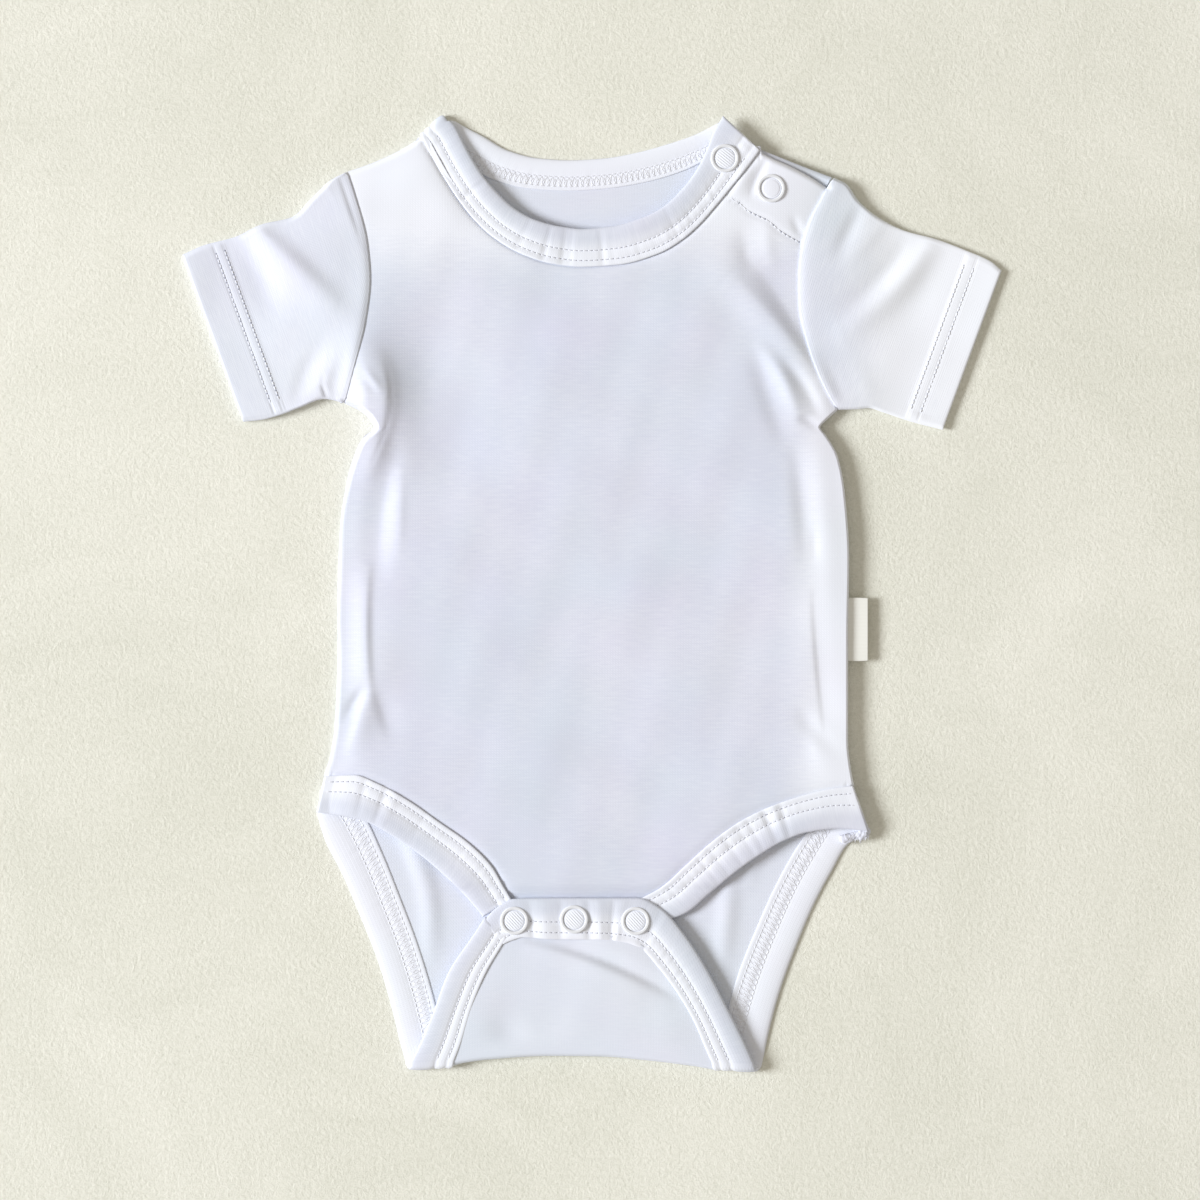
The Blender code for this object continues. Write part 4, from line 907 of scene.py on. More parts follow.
def sleeve_points(armhole, top, under, outwards, rows, pull, flare, seam_rise, seam_turn, u, v):
    """A flattened tube from the armhole to the cuff: up its front layer and down its back layer."""
    half = SLEEVE_AROUND // 2
    lead = len(SLEEVE_RIM_SHARES)
    even = np.linspace(SLEEVE_RIM_SHARES[-1], 1 - SLEEVE_RIM_SHARES[-1], half + 3 - 2 * lead)
    layer = np.concatenate((SLEEVE_RIM_SHARES, even[1:-1], 1 - np.array(SLEEVE_RIM_SHARES[::-1])))
    loop = np.concatenate((layer, layer[-2::-1]))
    if outwards > 0:
        loop = loop[::-1]
    cell = u * SLEEVE_AROUND
    across = np.interp(cell, np.arange(SLEEVE_AROUND + 1), loop)
    is_front = cell <= half if outwards < 0 else cell >= half
    t = SLEEVE_START + (1 - SLEEVE_START) * v
    on_top_x, on_top_y = along(top, t)
    on_under_x, on_under_y = along(under, t)
    armhole_y = armhole["y"][0] + (armhole["y"][-1] - armhole["y"][0]) * across
    start_x = under["x"][0] + (top["x"][0] - under["x"][0]) * across
    start_y = under["y"][0] + (top["y"][0] - under["y"][0]) * across
    x = on_under_x + (on_top_x - on_under_x) * across + (x_at(armhole, armhole_y) - start_x) * (1 - v)
    y = on_under_y + (on_top_y - on_under_y) * across + (armhole_y - start_y) * (1 - v)
    tuck = np.minimum(across, 1 - across) / TUCK_RUN
    x -= outwards * TUCKED * np.clip(1 - v / TUCK_RUN, 0, 1) * np.clip(tuck, 0, 1)

    # The hem is double: it stands higher, its rows sink in, and they draw small puckers along it
    to_cuff = cuff_distance(top, under, x, y)
    s = across * np.hypot(top["x"][-1] - under["x"][-1], top["y"][-1] - under["y"][-1])
    hem = HEM_STEP * (1 - ease((to_cuff - rows[1]) / HEM_STEP_RUN))
    hem = hem + flare * (1 - ease(to_cuff / CUFF_FLARE_RUN))
    for row in rows:
        hem -= HEM_GROOVE * pull * np.exp(-(((to_cuff - row) / HEM_GROOVE_WIDTH) ** 2))
    hem += wander(s, outwards, HEM_PUCKER) * np.exp(-(((to_cuff - rows[0]) / HEM_PUCKER_WIDTH) ** 2))
    hem -= CUFF_LIP * np.exp(-to_cuff / CUFF_LIP)
    inside = ease(np.minimum(across, 1 - across) / 0.03)
    to_seam = distance(armhole, x, y) * (outwards * (x - x_at(armhole, y)) > 0)
    seam = seam_rise * np.exp(-((to_seam / SEAM_RISE_WIDTH) ** 2))
    seam -= seam_turn * np.exp(-to_seam / SEAM_TURN_RUN)
    z = np.where(is_front, front_skin(x, y) + (hem + seam) * inside, back_skin(x, y))
    at_fold = np.where(across == 0, UNDERARM_HEIGHT, SEAM_HEIGHT)
    at_fold = np.minimum(at_fold, FOLD_SHARE * front_level(x, y))
    z = np.where((across == 0) | (across == 1), at_fold, z)
    return x, y, z, s, to_cuff


# For each sleeve: its needle rows, how hard they pull, how far the cuff stands open, and the swell and
# the turn of the cloth along the armhole seam
for side, armhole, top, under, outwards, rows, pull, flare, seam_rise, seam_turn in (
    ("left", LEFT_ARMHOLE, LEFT_SLEEVE_TOP, LEFT_SLEEVE_UNDER, -1, (11.9, 15.3), 1.0, 0.4, 0.4, 0.7),
    ("right", RIGHT_ARMHOLE, RIGHT_SLEEVE_TOP, RIGHT_SLEEVE_UNDER, 1, (10.0, 13.8), 0.55, 0.0, 0.3, 0.45),
):
    u, v = grid(SLEEVE_AROUND * 7, 140)
    x, y, z, s, to_cuff = sleeve_points(
        armhole, top, under, outwards, rows, pull, flare, seam_rise, seam_turn, u, v
    )
    sleeve = surface(f"sleeve_{side}_cloth", x, y, z, s, to_cuff, weld=True)
    wall(sleeve, JERSEY)
    sleeve.data.materials.append(sleeve_jersey)
    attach(sleeve, "root")
    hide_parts(f"sleeve_{side}")

    # The needle rows, which stop short of both folds
    share = np.linspace(0.03, 0.965, 300)
    run_x, run_y = top["x"][-1] - under["x"][-1], top["y"][-1] - under["y"][-1]
    edge_x, edge_y = under["x"][-1] + run_x * share, under["y"][-1] + run_y * share
    inwards = np.array([-outwards * abs(run_y), abs(run_x)]) / math.hypot(run_x, run_y)
    hem_lines = []
    for row in rows:
        row_x, row_y = edge_x + inwards[0] * row, edge_y + inwards[1] * row
        raised = flare * (1 - ease(row / CUFF_FLARE_RUN))
        row_z = front_skin(row_x, row_y) + HEM_STEP + raised - HEM_THREAD_SINK * pull
        hem_lines.append((np.stack([row_x, row_y, row_z], axis=1), arc(edge_x, edge_y)))
    hem_stitches = sew(f"hem_{side}", hem_lines, pull=pull)

# Front panel: one piece of single jersey, overlocked to the back at the sides and left shoulder and to
# the sleeves at the armholes. Its right shoulder edge is folded under and faced, and laps over the back.
BINDING_LAP = 2.2
BINDING_LAP_RUN = 5.0
FRONT_CELLS = 36
FRONT_LEG_EDGE = table(
    "x y",
    (-99.2, -68.5),
    (-88.0, -68.0),
    (-79.3, -71.1),
    (-68.1, -77.2),
    (-56.7, -85.2),
    (-45.5, -93.2),
    (-37.0, -101.8),
    (-32.8, -109.0),
    (-29.3, -113.7),
    (-15.0, -113.7),
    (2.0, -113.7),
    (16.0, -113.7),
    (25.5, -109.6),
    (34.5, -101.5),
    (44.5, -92.5),
    (55.0, -85.0),
    (66.0, -79.6),
    (78.0, -75.5),
    (88.0, -73.1),
    (96.7, -72.0),
)
NECK_BINDING_FRONT = table(
    "seam_x seam_y free_x free_y",
    (62.2, 163.0, 48.5, 175.6),
    (57.0, 156.0, 44.9, 169.6),
    (52.0, 149.8, 42.4, 163.2),
    (46.4, 143.0, 38.6, 155.6),
    (38.9, 134.6, 31.8, 146.9),
    (32.0, 128.8, 25.6, 141.5),
    (24.4, 124.6, 18.8, 138.0),
    (10.0, 120.6, 7.6, 134.8),
    (-4.0, 119.8, -3.4, 133.8),
    (-15.0, 121.0, -12.6, 134.9),
    (-27.0, 125.0, -21.5, 137.4),
    (-35.5, 130.0, -28.6, 141.4),
    (-43.3, 137.0, -34.7, 147.0),
    (-50.2, 145.8, -40.2, 153.4),
    (-55.9, 154.8, -45.4, 161.8),
    (-60.0, 162.2, -49.2, 169.4),
    (-62.2, 166.4, -52.2, 175.0),
)
FRONT_ROWS = table(
    "cell left_y right_y",
    (0, -68.4, -72.0),
    (17, 54.0, 53.0),
    (18, 60.4, 60.4),
    (19, 66.0, 64.5),
    (20, 69.6, 67.0),
    (32, 149.6, 143.3),
    (33, 152.2, 145.9),
    (34, 154.0, 147.7),
    (35, 154.9, 148.6),
    (36, 155.2, 148.9),
)
FRONT_COLUMNS = table(
    "cell low_share top_share",
    (0, 0.0, 0.0),
    (1, 0.0015, 0.0017),
    (2, 0.0061, 0.0067),
    (3, 0.0153, 0.0168),
    (4, 0.0286, 0.0315),
    (9, 0.11, 0.1484),
    (14, 0.25, 0.3),
    (22, 0.73, 0.71),
    (27, 0.88, 0.8606),
    (32, 0.9714, 0.9685),
    (33, 0.9847, 0.9832),
    (34, 0.9939, 0.9933),
    (35, 0.9985, 0.9983),
    (36, 1.0, 1.0),
)
# Seams that draw the front panel down: how deep, and how far in
PRESSED_EDGES = (
    (LEFT_ARMHOLE, 0.55, 10.0),
    (RIGHT_ARMHOLE, 1.0, 5.0),
    (FRONT_LEG_EDGE, 0.8, 0.8),
    ({"x": NECK_BINDING_FRONT["seam_x"], "y": NECK_BINDING_FRONT["seam_y"]}, 0.8, 0.7),
)


def panel_skin(x, y):
    """Height of the front panel: the front layer, less a trough that falls off from each seam."""
    z = front_skin(x, y)
    for edge, depth, width in PRESSED_EDGES:
        z -= depth * np.exp(-distance(edge, x, y) / width)
    return z


def front_panel_points(u, v):
    """Columns run up from the leg edge to the neckline, and rows between the side edges."""
    left_y = stations(FRONT_ROWS, "left_y", v * FRONT_CELLS)
    right_y = stations(FRONT_ROWS, "right_y", v * FRONT_CELLS)
    low_share = stations(FRONT_COLUMNS, "low_share", u * FRONT_CELLS)
    top_share = stations(FRONT_COLUMNS, "top_share", u * FRONT_CELLS)
    share = low_share + (top_share - low_share) * (left_y - left_y.min()) / np.ptp(left_y)
    low_left, low_right = FRONT_LEG_EDGE["x"][0], FRONT_LEG_EDGE["x"][-1]
    top_left, top_right = LEFT_SHOULDER["x"][0], RIGHT_SHOULDER_FRONT["x"][-1]
    low_x = low_left + (low_right - low_left) * low_share
    top_x = top_left + (top_right - top_left) * top_share
    lap = BINDING_LAP * ease(np.minimum(low_x - low_left, low_right - low_x) / BINDING_LAP_RUN)
    low_y = y_at(FRONT_LEG_EDGE, low_x) - lap
    neckline = edge_over_x(*under_lap(NECK_BINDING_FRONT, np.linspace(0, 1, 120)), top_x)
    top_y = np.where(top_x < LEFT_SHOULDER["x"][-1], y_at(LEFT_SHOULDER, top_x), neckline)
    on_shoulder = top_x > RIGHT_SHOULDER_FRONT["x"][0] - CORNER_REACH
    top_y = np.where(on_shoulder, y_at(RIGHT_SHOULDER_FRONT, top_x), top_y)
    y = bent_rows(left_y, right_y, share, low_y, top_y)
    left = body_side(left_y, LEFT_SIDE, LEFT_ARMHOLE)
    x = left + (body_side(right_y, RIGHT_SIDE, RIGHT_ARMHOLE) - left) * share
    return x, y, panel_skin(x, y)


u, v = grid(FRONT_CELLS * 5, FRONT_CELLS * 6)
x, y, z = front_panel_points(u, v)
front_panel = surface("front_panel_cloth", x, y, z, x, y)
wall(front_panel, JERSEY)
# Paler towards the right side and towards the shoulders: painted light, for the light's falloff across the
# front panel
front_jersey = jersey("front_jersey_knit", "#edf0f9", "#d9ddec", (66.0, 88.0), (112.0, 140.0))
front_panel.data.materials.append(front_jersey)
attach(front_panel, "root")
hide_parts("front_panel")

# Bindings: strips of the same jersey, folded in half round the cut edges of the panels and sewn down by a
# two-needle coverstitch. Their plain folded side puffs up a little, the needle rows sink in beside the
# sewn edge, and on the inner side a flat band of looper thread crosses from row to row.
STRIP = 13.5
NEEDLE_ROWS = (7.8, 11.3)
# The band that the needles hold down, where the panel's edge ends, and the rounding of a strip's ends
SEWN_MIDDLE = 9.5
SEWN_WIDTH = 3.4
PANEL_END = 10.6
SEWN_PUCKER = 0.05
END_ROUNDING = 0.8
# The looper thread's stitch length and radius
LOOPER_PITCH = 2.0
LOOPER = 0.2
# Depths inwards from the panel's outer side, against the distance from the folded edge, where the
# strip's outer side laps over the panel, and where its inner side does
PROFILE = table(
    "from_free over_outer over_inner under_outer under_inner",
    (0.0, 0.35, 0.35, 0.45, 0.45),
    (0.08, 0.12, 0.6, 0.25, 0.7),
    (0.25, -0.08, 0.78, 0.12, 0.95),
    (0.5, -0.25, 0.92, 0.05, 1.12),
    (0.8, -0.36, 1.0, 0.0, 1.25),
    (1.3, -0.48, 1.08, 0.0, 1.38),
    (2.0, -0.58, 1.14, 0.0, 1.48),
    (3.0, -0.66, 1.18, 0.0, 1.56),
    (4.2, -0.68, 1.2, 0.0, 1.58),
    (5.4, -0.64, 1.2, 0.0, 1.54),
    (6.4, -0.55, 1.2, 0.0, 1.45),
    (7.1, -0.42, 1.2, 0.0, 1.36),
    (7.45, -0.28, 1.2, 0.0, 1.3),
    (7.8, -0.2, 1.2, 0.0, 1.28),
    (8.15, -0.28, 1.2, 0.0, 1.3),
    (8.6, -0.4, 1.2, 0.0, 1.36),
    (9.3, -0.46, 1.2, 0.0, 1.4),
    (10.0, -0.46, 1.2, 0.0, 1.4),
    (10.6, -0.4, 0.9, 0.3, 1.36),
    (10.95, -0.3, 0.3, 0.8, 1.32),
    (11.3, -0.22, -0.04, 1.04, 1.3),
    (11.65, -0.3, -0.04, 1.04, 1.33),
    (12.1, -0.4, -0.04, 1.04, 1.4),
    (12.8, -0.44, -0.04, 1.04, 1.42),
    (13.2, -0.42, -0.04, 1.04, 1.4),
    (13.42, -0.28, -0.04, 1.04, 1.28),
    (13.5, -0.08, -0.04, 1.04, 1.12),
)
PROFILE_CELLS = len(PROFILE["from_free"])
FIRST_ROW = int(np.searchsorted(PROFILE["from_free"], NEEDLE_ROWS[0]))
SECOND_ROW = int(np.searchsorted(PROFILE["from_free"], NEEDLE_ROWS[1]))
# Darker within 9.5 mm of its fold: painted shade on the strip's folded side, in part also the thinner cloth
# there
binding_jersey = jersey("binding_jersey_knit", "#eef1fa", "#d7dbe8", fold_shade_tone=(3.0, 9.5))


def strip_points(edges, theta, over, height, out, puckers, seed):
    """A folded strip, whose section is a flat loop: the outer side from the fold, and the inner side back.

    theta turns the strip round a fold of the garment, from 0 with its outer side down to pi with it up.
    """
    seam_x, seam_y, free_x, free_y = (column[:, None] for column in edges)
    from_free = np.concatenate([PROFILE["from_free"], PROFILE["from_free"][::-1]])[None, :]
    side = np.concatenate([np.ones(PROFILE_CELLS), np.zeros(PROFILE_CELLS)])[None, :]
    across = from_free / STRIP
    x = free_x + (seam_x - free_x) * across
    y = free_y + (seam_y - free_y) * across
    over = over[:, None]

    def both(outer, inner):
        """A depth round the whole loop."""
        return np.concatenate([PROFILE[outer], PROFILE[inner][::-1]])[None, :]

    depth = both("over_outer", "over_inner") * over + both("under_outer", "under_inner") * (1 - over)
    mid_x, mid_y = (edges[0] + edges[2]) / 2, (edges[1] + edges[3]) / 2
    s = arc(mid_x, mid_y)[:, None]
    sewn = np.exp(-(((from_free - SEWN_MIDDLE) / SEWN_WIDTH) ** 2)) * ease(from_free / 2)
    lift = wander(s, seed, SEWN_PUCKER) * sewn
    for place_x, width, rise in puckers:
        place = np.interp(place_x, *(column[np.argsort(mid_x)] for column in (mid_x, s[:, 0])))
        pucker = rise * np.exp(-(((s - place) / width) ** 2)) * ease(from_free / 1.5)
        lift = lift + pucker * (0.4 + 0.6 * sewn)
    up = -np.cos(theta)[:, None]
    free_to_rise = np.where(up > 0, 1.0, np.clip(depth / 1.2, 0, 1))
    depth = depth - up * lift * free_to_rise
    ends = np.sqrt(1 - (1 - np.clip(np.minimum(s, s.max() - s) / END_ROUNDING, 0, 1)) ** 2)
    beyond = from_free > PANEL_END
    middle = np.where(over > 0.5, np.where(beyond, -0.15, 0.3), np.where(beyond, 1.15, 0.6))
    depth = middle + (depth - middle) * ends
    radius = height(x, y) / 2
    swing = np.clip(np.sin(theta), 0, 1)[:, None] ** SQUARE_FOLD
    x = x + out[0] * (radius - depth) * swing
    y = y + out[1] * (radius - depth) * swing
    z = np.maximum(radius * (1 - np.cos(theta)[:, None]) + np.cos(theta)[:, None] * depth, 0.0)
    points = np.stack([x, y, z], axis=-1)
    cloth_u = from_free * side + (2 * STRIP - from_free) * (1 - side)
    return points, np.broadcast_to(cloth_u, x.shape), np.broadcast_to(s, x.shape)


def strip(node, points, cloth_u, cloth_v, flip):
    """The strip's mesh, closed along its section, standing for its CAD node."""
    if flip:
        points, cloth_u, cloth_v = points[:, ::-1], cloth_u[:, ::-1], cloth_v[:, ::-1]
    closed = np.concatenate([points, points[:, :1]], axis=1)
    closed_u = np.concatenate([cloth_u, cloth_u[:, -1:] + 1.0], axis=1)
    closed_v = np.concatenate([cloth_v, cloth_v[:, :1]], axis=1)
    piece = surface(f"{node}_cloth", *np.moveaxis(closed, -1, 0), closed_u, closed_v, weld=True)
    piece.data.materials.append(binding_jersey)
    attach(piece, "root")
    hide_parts(node)


def needle_rows(name, points, first, last):
    """Both needle rows on a strip's outer side, between two of its sections."""
    middle = points[first:last, (FIRST_ROW + SECOND_ROW) // 2]
    sewn = arc(*middle.T)
    return sew(name, [(points[first:last, column], sewn) for column in (FIRST_ROW, SECOND_ROW)])


def looper_band(name, points, first, last):
    """Looper thread on a strip's inner side: each stitch crosses between the rows and loops each one."""
    inner = points[first:last, : PROFILE_CELLS - 1 : -1]
    s = arc(*inner[:, FIRST_ROW].T)
    starts = np.arange(LOOPER_PITCH, s[-1] - 1.5 * LOOPER_PITCH, LOOPER_PITCH)

    def at(place, from_free):
        """Points on the inner side at arc lengths and distances from the fold."""
        row = np.interp(place, s, np.arange(len(s)))
        column = np.interp(from_free, PROFILE["from_free"], np.arange(PROFILE_CELLS))
        j, i = int(column), row.astype(int)
        row_share, column_share = (row - i)[:, None], column - j
        low, high = (
            inner[k, j] * (1 - column_share) + inner[k, min(j + 1, PROFILE_CELLS - 1)] * column_share
            for k in (i, np.minimum(i + 1, len(s) - 1))
        )
        return low + (high - low) * row_share

    strands = []
    for place_0, from_0, place_1, from_1, lift in (
        (0.0, 7.3, 1.0, 11.9, -0.04),
        (1.0, 11.9, 2.0, 7.3, -0.02),
        (0.1, 7.4, 1.7, 7.5, 0.02),
        (0.2, 11.8, 1.8, 11.6, 0.02),
        (0.4, 8.4, 1.6, 10.4, 0.0),
        (0.2, 10.4, 1.4, 8.6, 0.0),
    ):
        start = at(starts + place_0 * LOOPER_PITCH / 2, from_0) + [0, 0, lift]
        end = at(starts + place_1 * LOOPER_PITCH / 2, from_1) + [0, 0, lift]
        strands.append((start, end))
    start, end = (np.concatenate(side) for side in zip(*strands))
    return threads(name, start, end, LOOPER, sewing_thread, 0.7, 0.03)


# Neck binding: from the snapped tab on the right round the front neckline, over the left shoulder, and
# round the back neckline with its inner side up. It is one strip, closed by the snap at the tab.
NECK_FOLD_HEIGHT = 3.2
NECK_OUT = (-0.8, 1.3)
NECK_FOLD_ROUNDING = 1.7
NECK_ROUNDING_RUN = 2.2
NECK_PUCKERS = (
    (-25.2, 1.5, -0.2),
    (-10.0, 1.6, -0.25),
    (-1.5, 1.5, -0.42),
    (2.5, 1.6, 0.25),
    (12.2, 1.3, -0.28),
    (17.8, 1.2, -0.3),
    (22.2, 1.2, -0.26),
    (25.9, 1.2, -0.3),
    (29.6, 1.2, -0.22),
)
front_count, turn_count, back_count = 330, 26, 180
t_front, t_turn, t_back = (np.linspace(0, 1, count) for count in (front_count, turn_count, back_count))
front_edges = run(NECK_BINDING_FRONT, t_front)
back_edges = run(NECK_BINDING_BACK, t_back)
turn_edges = front_edges[:, -1:] + (back_edges[:, :1] - front_edges[:, -1:]) * t_turn
edges = np.concatenate([front_edges, turn_edges[:, 1:-1], back_edges], axis=1)
turning = math.pi * (1 - t_turn[1:-1])
theta = np.concatenate([np.full(front_count, math.pi), turning, np.zeros(back_count)])
over = np.concatenate([np.ones(front_count + turn_count - 2), 1 - ease(t_back * 14)])

# The fold's corner is rounded: the strip's free edge draws in on both sides of it
way = arc((edges[0] + edges[2]) / 2, (edges[1] + edges[3]) / 2)
to_fold = np.clip(np.abs(way - way[front_count - 1]) / (NECK_ROUNDING_RUN * NECK_FOLD_ROUNDING), 0, 1)
narrowed = NECK_FOLD_ROUNDING * (1 - np.sqrt(1 - (1 - to_fold) ** 2)) / STRIP
edges[2:] += (edges[:2] - edges[2:]) * narrowed
share = np.concatenate([t_front, np.ones(turn_count - 2 + back_count)])
near_fold = ease((share - 0.8) / 0.2)[:, None]


def neck_height(x, y):
    """Height of the cloth under the binding, lower where it folds over the shoulder."""
    under_strip = front_skin(x, y)
    return under_strip + (NECK_FOLD_HEIGHT - under_strip) * near_fold


points, cloth_u, cloth_v = strip_points(edges, theta, over, neck_height, NECK_OUT, NECK_PUCKERS, 0.4)
neck_stitches = needle_rows("neck_stitches", points, 10, front_count - 4)
neck_looper = looper_band("neck_looper", points, front_count + turn_count + 6, len(theta) - 8)
strip("neck_binding", points, cloth_u, cloth_v, False)

# Leg bindings of the front: folded strips like the neck's, sewn down from each hip to the crotch, where
# they end under the flap. The needles draw them into small puckers.
FRONT_LEG_BINDING_LEFT = table(
    "seam_x seam_y free_x free_y",
    (-99.0, -68.5, -101.9, -81.9),
    (-88.0, -68.0, -91.5, -83.3),
    (-79.3, -71.1, -83.5, -85.3),
    (-68.1, -77.2, -75.0, -89.8),
    (-56.7, -85.2, -64.5, -96.8),
    (-45.5, -93.2, -54.5, -105.2),
    (-37.0, -101.8, -46.7, -112.9),
    (-32.8, -109.0, -43.0, -117.2),
    (-29.6, -114.4, -40.2, -120.6),
)
FRONT_LEG_BINDING_RIGHT = table(
    "seam_x seam_y free_x free_y",
    (96.7, -72.0, 102.6, -88.9),
    (88.0, -73.1, 91.1, -87.8),
    (78.0, -75.5, 80.0, -89.1),
    (66.0, -79.6, 71.0, -92.3),
    (55.0, -85.0, 62.4, -97.3),
    (44.5, -92.5, 53.3, -103.7),
    (34.5, -101.5, 43.4, -112.0),
    (25.5, -109.6, 35.0, -119.0),
    (16.2, -114.6, 28.5, -121.6),
)
LOWEST_FRONT_BINDING = 3.6
LEFT_PUCKERS = ((-85.2, 1.5, -0.3), (-78.2, 1.4, -0.4), (-75.0, 1.5, 0.2), (-64.8, 1.8, -0.15))
RIGHT_PUCKERS = (
    (43.0, 1.2, -0.25),
    (46.7, 1.2, -0.3),
    (51.9, 1.3, -0.3),
    (56.7, 1.2, -0.3),
    (60.4, 1.2, -0.25),
    (65.9, 1.5, -0.5),
    (69.0, 1.2, 0.25),
    (71.4, 1.3, -0.35),
)


def leg_height(x, y):
    """Height of the front under its leg bindings, which stay above the hidden snap strip."""
    return np.maximum(front_skin(x, y), LOWEST_FRONT_BINDING)


for side, rows, puckers, flip in (
    ("left", FRONT_LEG_BINDING_LEFT, LEFT_PUCKERS, True),
    ("right", FRONT_LEG_BINDING_RIGHT, RIGHT_PUCKERS, False),
):
    t = np.linspace(0, 1, 180)
    face_up, over = np.full(t.shape, math.pi), np.ones(t.shape)
    points, cloth_u, cloth_v = strip_points(
        run(rows, t), face_up, over, leg_height, (0.0, 0.0), puckers, len(side)
    )
    leg_stitches = needle_rows(f"leg_stitches_front_{side}", points, 2, 176)
    node = f"leg_binding_front_{side}"
    strip(node, points, cloth_u, cloth_v, flip)

# Leg bindings of the back: down each leg edge with their inner side up, round the fold at the crotch,
# and up the flap with their outer side up. The right one turns the corner and makes the snap strip.
FLAP_LEVEL = 5.0
HIDDEN_END = 4.5
LAST_TENTH = 0.9
FLAP_PUCKERS = (
    (-22.5, 1.8, -0.45),
    (-17.5, 2.6, 0.4),
    (-11.5, 1.6, -0.45),
    (-1.2, 1.5, -0.5),
    (3.0, 1.8, 0.45),
    (7.5, 1.3, -0.5),
    (10.5, 1.6, 0.3),
    (22.0, 1.8, -0.4),
)


def flap_height(x, y):
    """Height of the flap under its bindings."""
    return np.full(np.shape(x), FLAP_LEVEL)


for side, down, up, up_count, flip in (
    ("left", BACK_LEG_BINDING_LEFT, FLAP_BINDING_LEFT, 110, False),
    ("right", BACK_LEG_BINDING_RIGHT, FLAP_BINDING_RIGHT, 230, True),
):
    down_count, turn_count = 180, 24
    t_down, t_turn, t_up = (np.linspace(0, 1, count) for count in (down_count, turn_count, up_count))
    down_edges, up_edges = run(down, t_down), run(up, t_up)

    # The left strip's end slips in under the flap's corner
    hidden = HIDDEN_END if side == "left" else 0.0
    tail = np.clip((t_up - LAST_TENTH) / 0.1, 0, 1)
    up_edges[0::2] += hidden * 0.5 * tail
    up_edges[1::2] += hidden * 0.85 * tail
    turn_edges = down_edges[:, -1:] + (up_edges[:, :1] - down_edges[:, -1:]) * t_turn
    edges = np.concatenate([down_edges, turn_edges[:, 1:-1], up_edges], axis=1)
    theta = np.concatenate([np.zeros(down_count), math.pi * t_turn[1:-1], np.full(up_count, math.pi)])
    over = np.concatenate([ease((t_down - LAST_TENTH) / 0.1), np.ones(turn_count - 2 + up_count)])
    puckers = FLAP_PUCKERS if side == "right" else ()
    points, cloth_u, cloth_v = strip_points(
        edges, theta, over, flap_height, (0.0, -1.0), puckers, 2.0 + len(side)
    )
    first_up = down_count + turn_count - 2
    flap_stitches = needle_rows(f"flap_stitches_{side}", points, first_up, len(theta) - 3)
    leg_looper = looper_band(f"leg_looper_{side}", points, 4, down_count - 6)
    node = f"leg_binding_back_{side}"
    strip(node, points, cloth_u, cloth_v, flip)

# Hidden layers: the front's own snap strip lies under the flap's, and a facing backs the shoulder flap.
# Both are single jersey. The facing shows only as one stitched line across the shoulder.
STRIP_LEFT = table("y x", (-128.0, -38.8), (-122.0, -38.8), (-118.0, -33.0))
STRIP_RIGHT = table("y x", (-128.0, 26.8), (-122.0, 26.8), (-118.0, 21.0))
STRIP_HEIGHT = 2.3
u, v = grid(40, 12)
y = STRIP_LEFT["y"][0] + np.ptp(STRIP_LEFT["y"]) * v
x = x_at(STRIP_LEFT, y) + (x_at(STRIP_RIGHT, y) - x_at(STRIP_LEFT, y)) * u
crotch_strip = surface("front_crotch_strip_cloth", x, y, np.full(x.shape, STRIP_HEIGHT), x, y)
wall(crotch_strip, JERSEY)
crotch_strip.data.materials.append(back_jersey)
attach(crotch_strip, "root")
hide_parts("front_crotch_strip")

SHOULDER_FACING = table(
    "seam_x seam_y free_x free_y",
    (53.5, 144.4, 61.8, 159.8),
    (61.0, 138.4, 69.5, 155.4),
    (69.4, 133.2, 77.5, 151.4),
    (76.6, 129.4, 84.2, 146.0),
)
FACING_GAP = 0.35
FACING_THREAD_LIFT = 0.12
u, v = grid(30, 30)
seam_x, seam_y, free_x, free_y = run(SHOULDER_FACING, v[::-1])
x, y = seam_x + (free_x - seam_x) * u, seam_y + (free_y - seam_y) * u
facing = surface("shoulder_facing_cloth", x, y, panel_skin(x, y) - JERSEY - FACING_GAP, x, y)
wall(facing, JERSEY)
facing.data.materials.append(back_jersey)
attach(facing, "root")
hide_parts("shoulder_facing")
line_x, line_y = along(FACING_LINE, np.linspace(0, 1, 120))
line_z = panel_skin(line_x, line_y) + FACING_THREAD_LIFT
facing_stitches = sew("facing", [(np.stack([line_x, line_y, line_z], axis=1), arc(line_x, line_y))])

# Seam end: where the overlocked right side seam meets the leg bindings, its bulky end and its tail of
# looper thread hang out as a small rumpled roll. It is jersey and thread, held by the seam alone.
SEAM_END = table(
    "share x y radius",
    (0.0, 91.6, -90.2, 0.02),
    (0.06, 92.0, -90.8, 1.0),
    (0.2, 93.6, -91.6, 1.9),
    (0.36, 95.6, -91.2, 1.6),
    (0.48, 97.0, -90.4, 1.3),
    (0.64, 99.2, -90.0, 2.3),
    (0.82, 101.4, -88.6, 2.5),
    (0.94, 102.5, -88.4, 1.5),
    (1.0, 103.0, -88.2, 0.02),
)
SEAM_END_HEIGHT = 2.6
SEAM_END_FLAT = 0.8
SEAM_END_GIRTH = 12.0
SEAM_END_LENGTH = 14.0


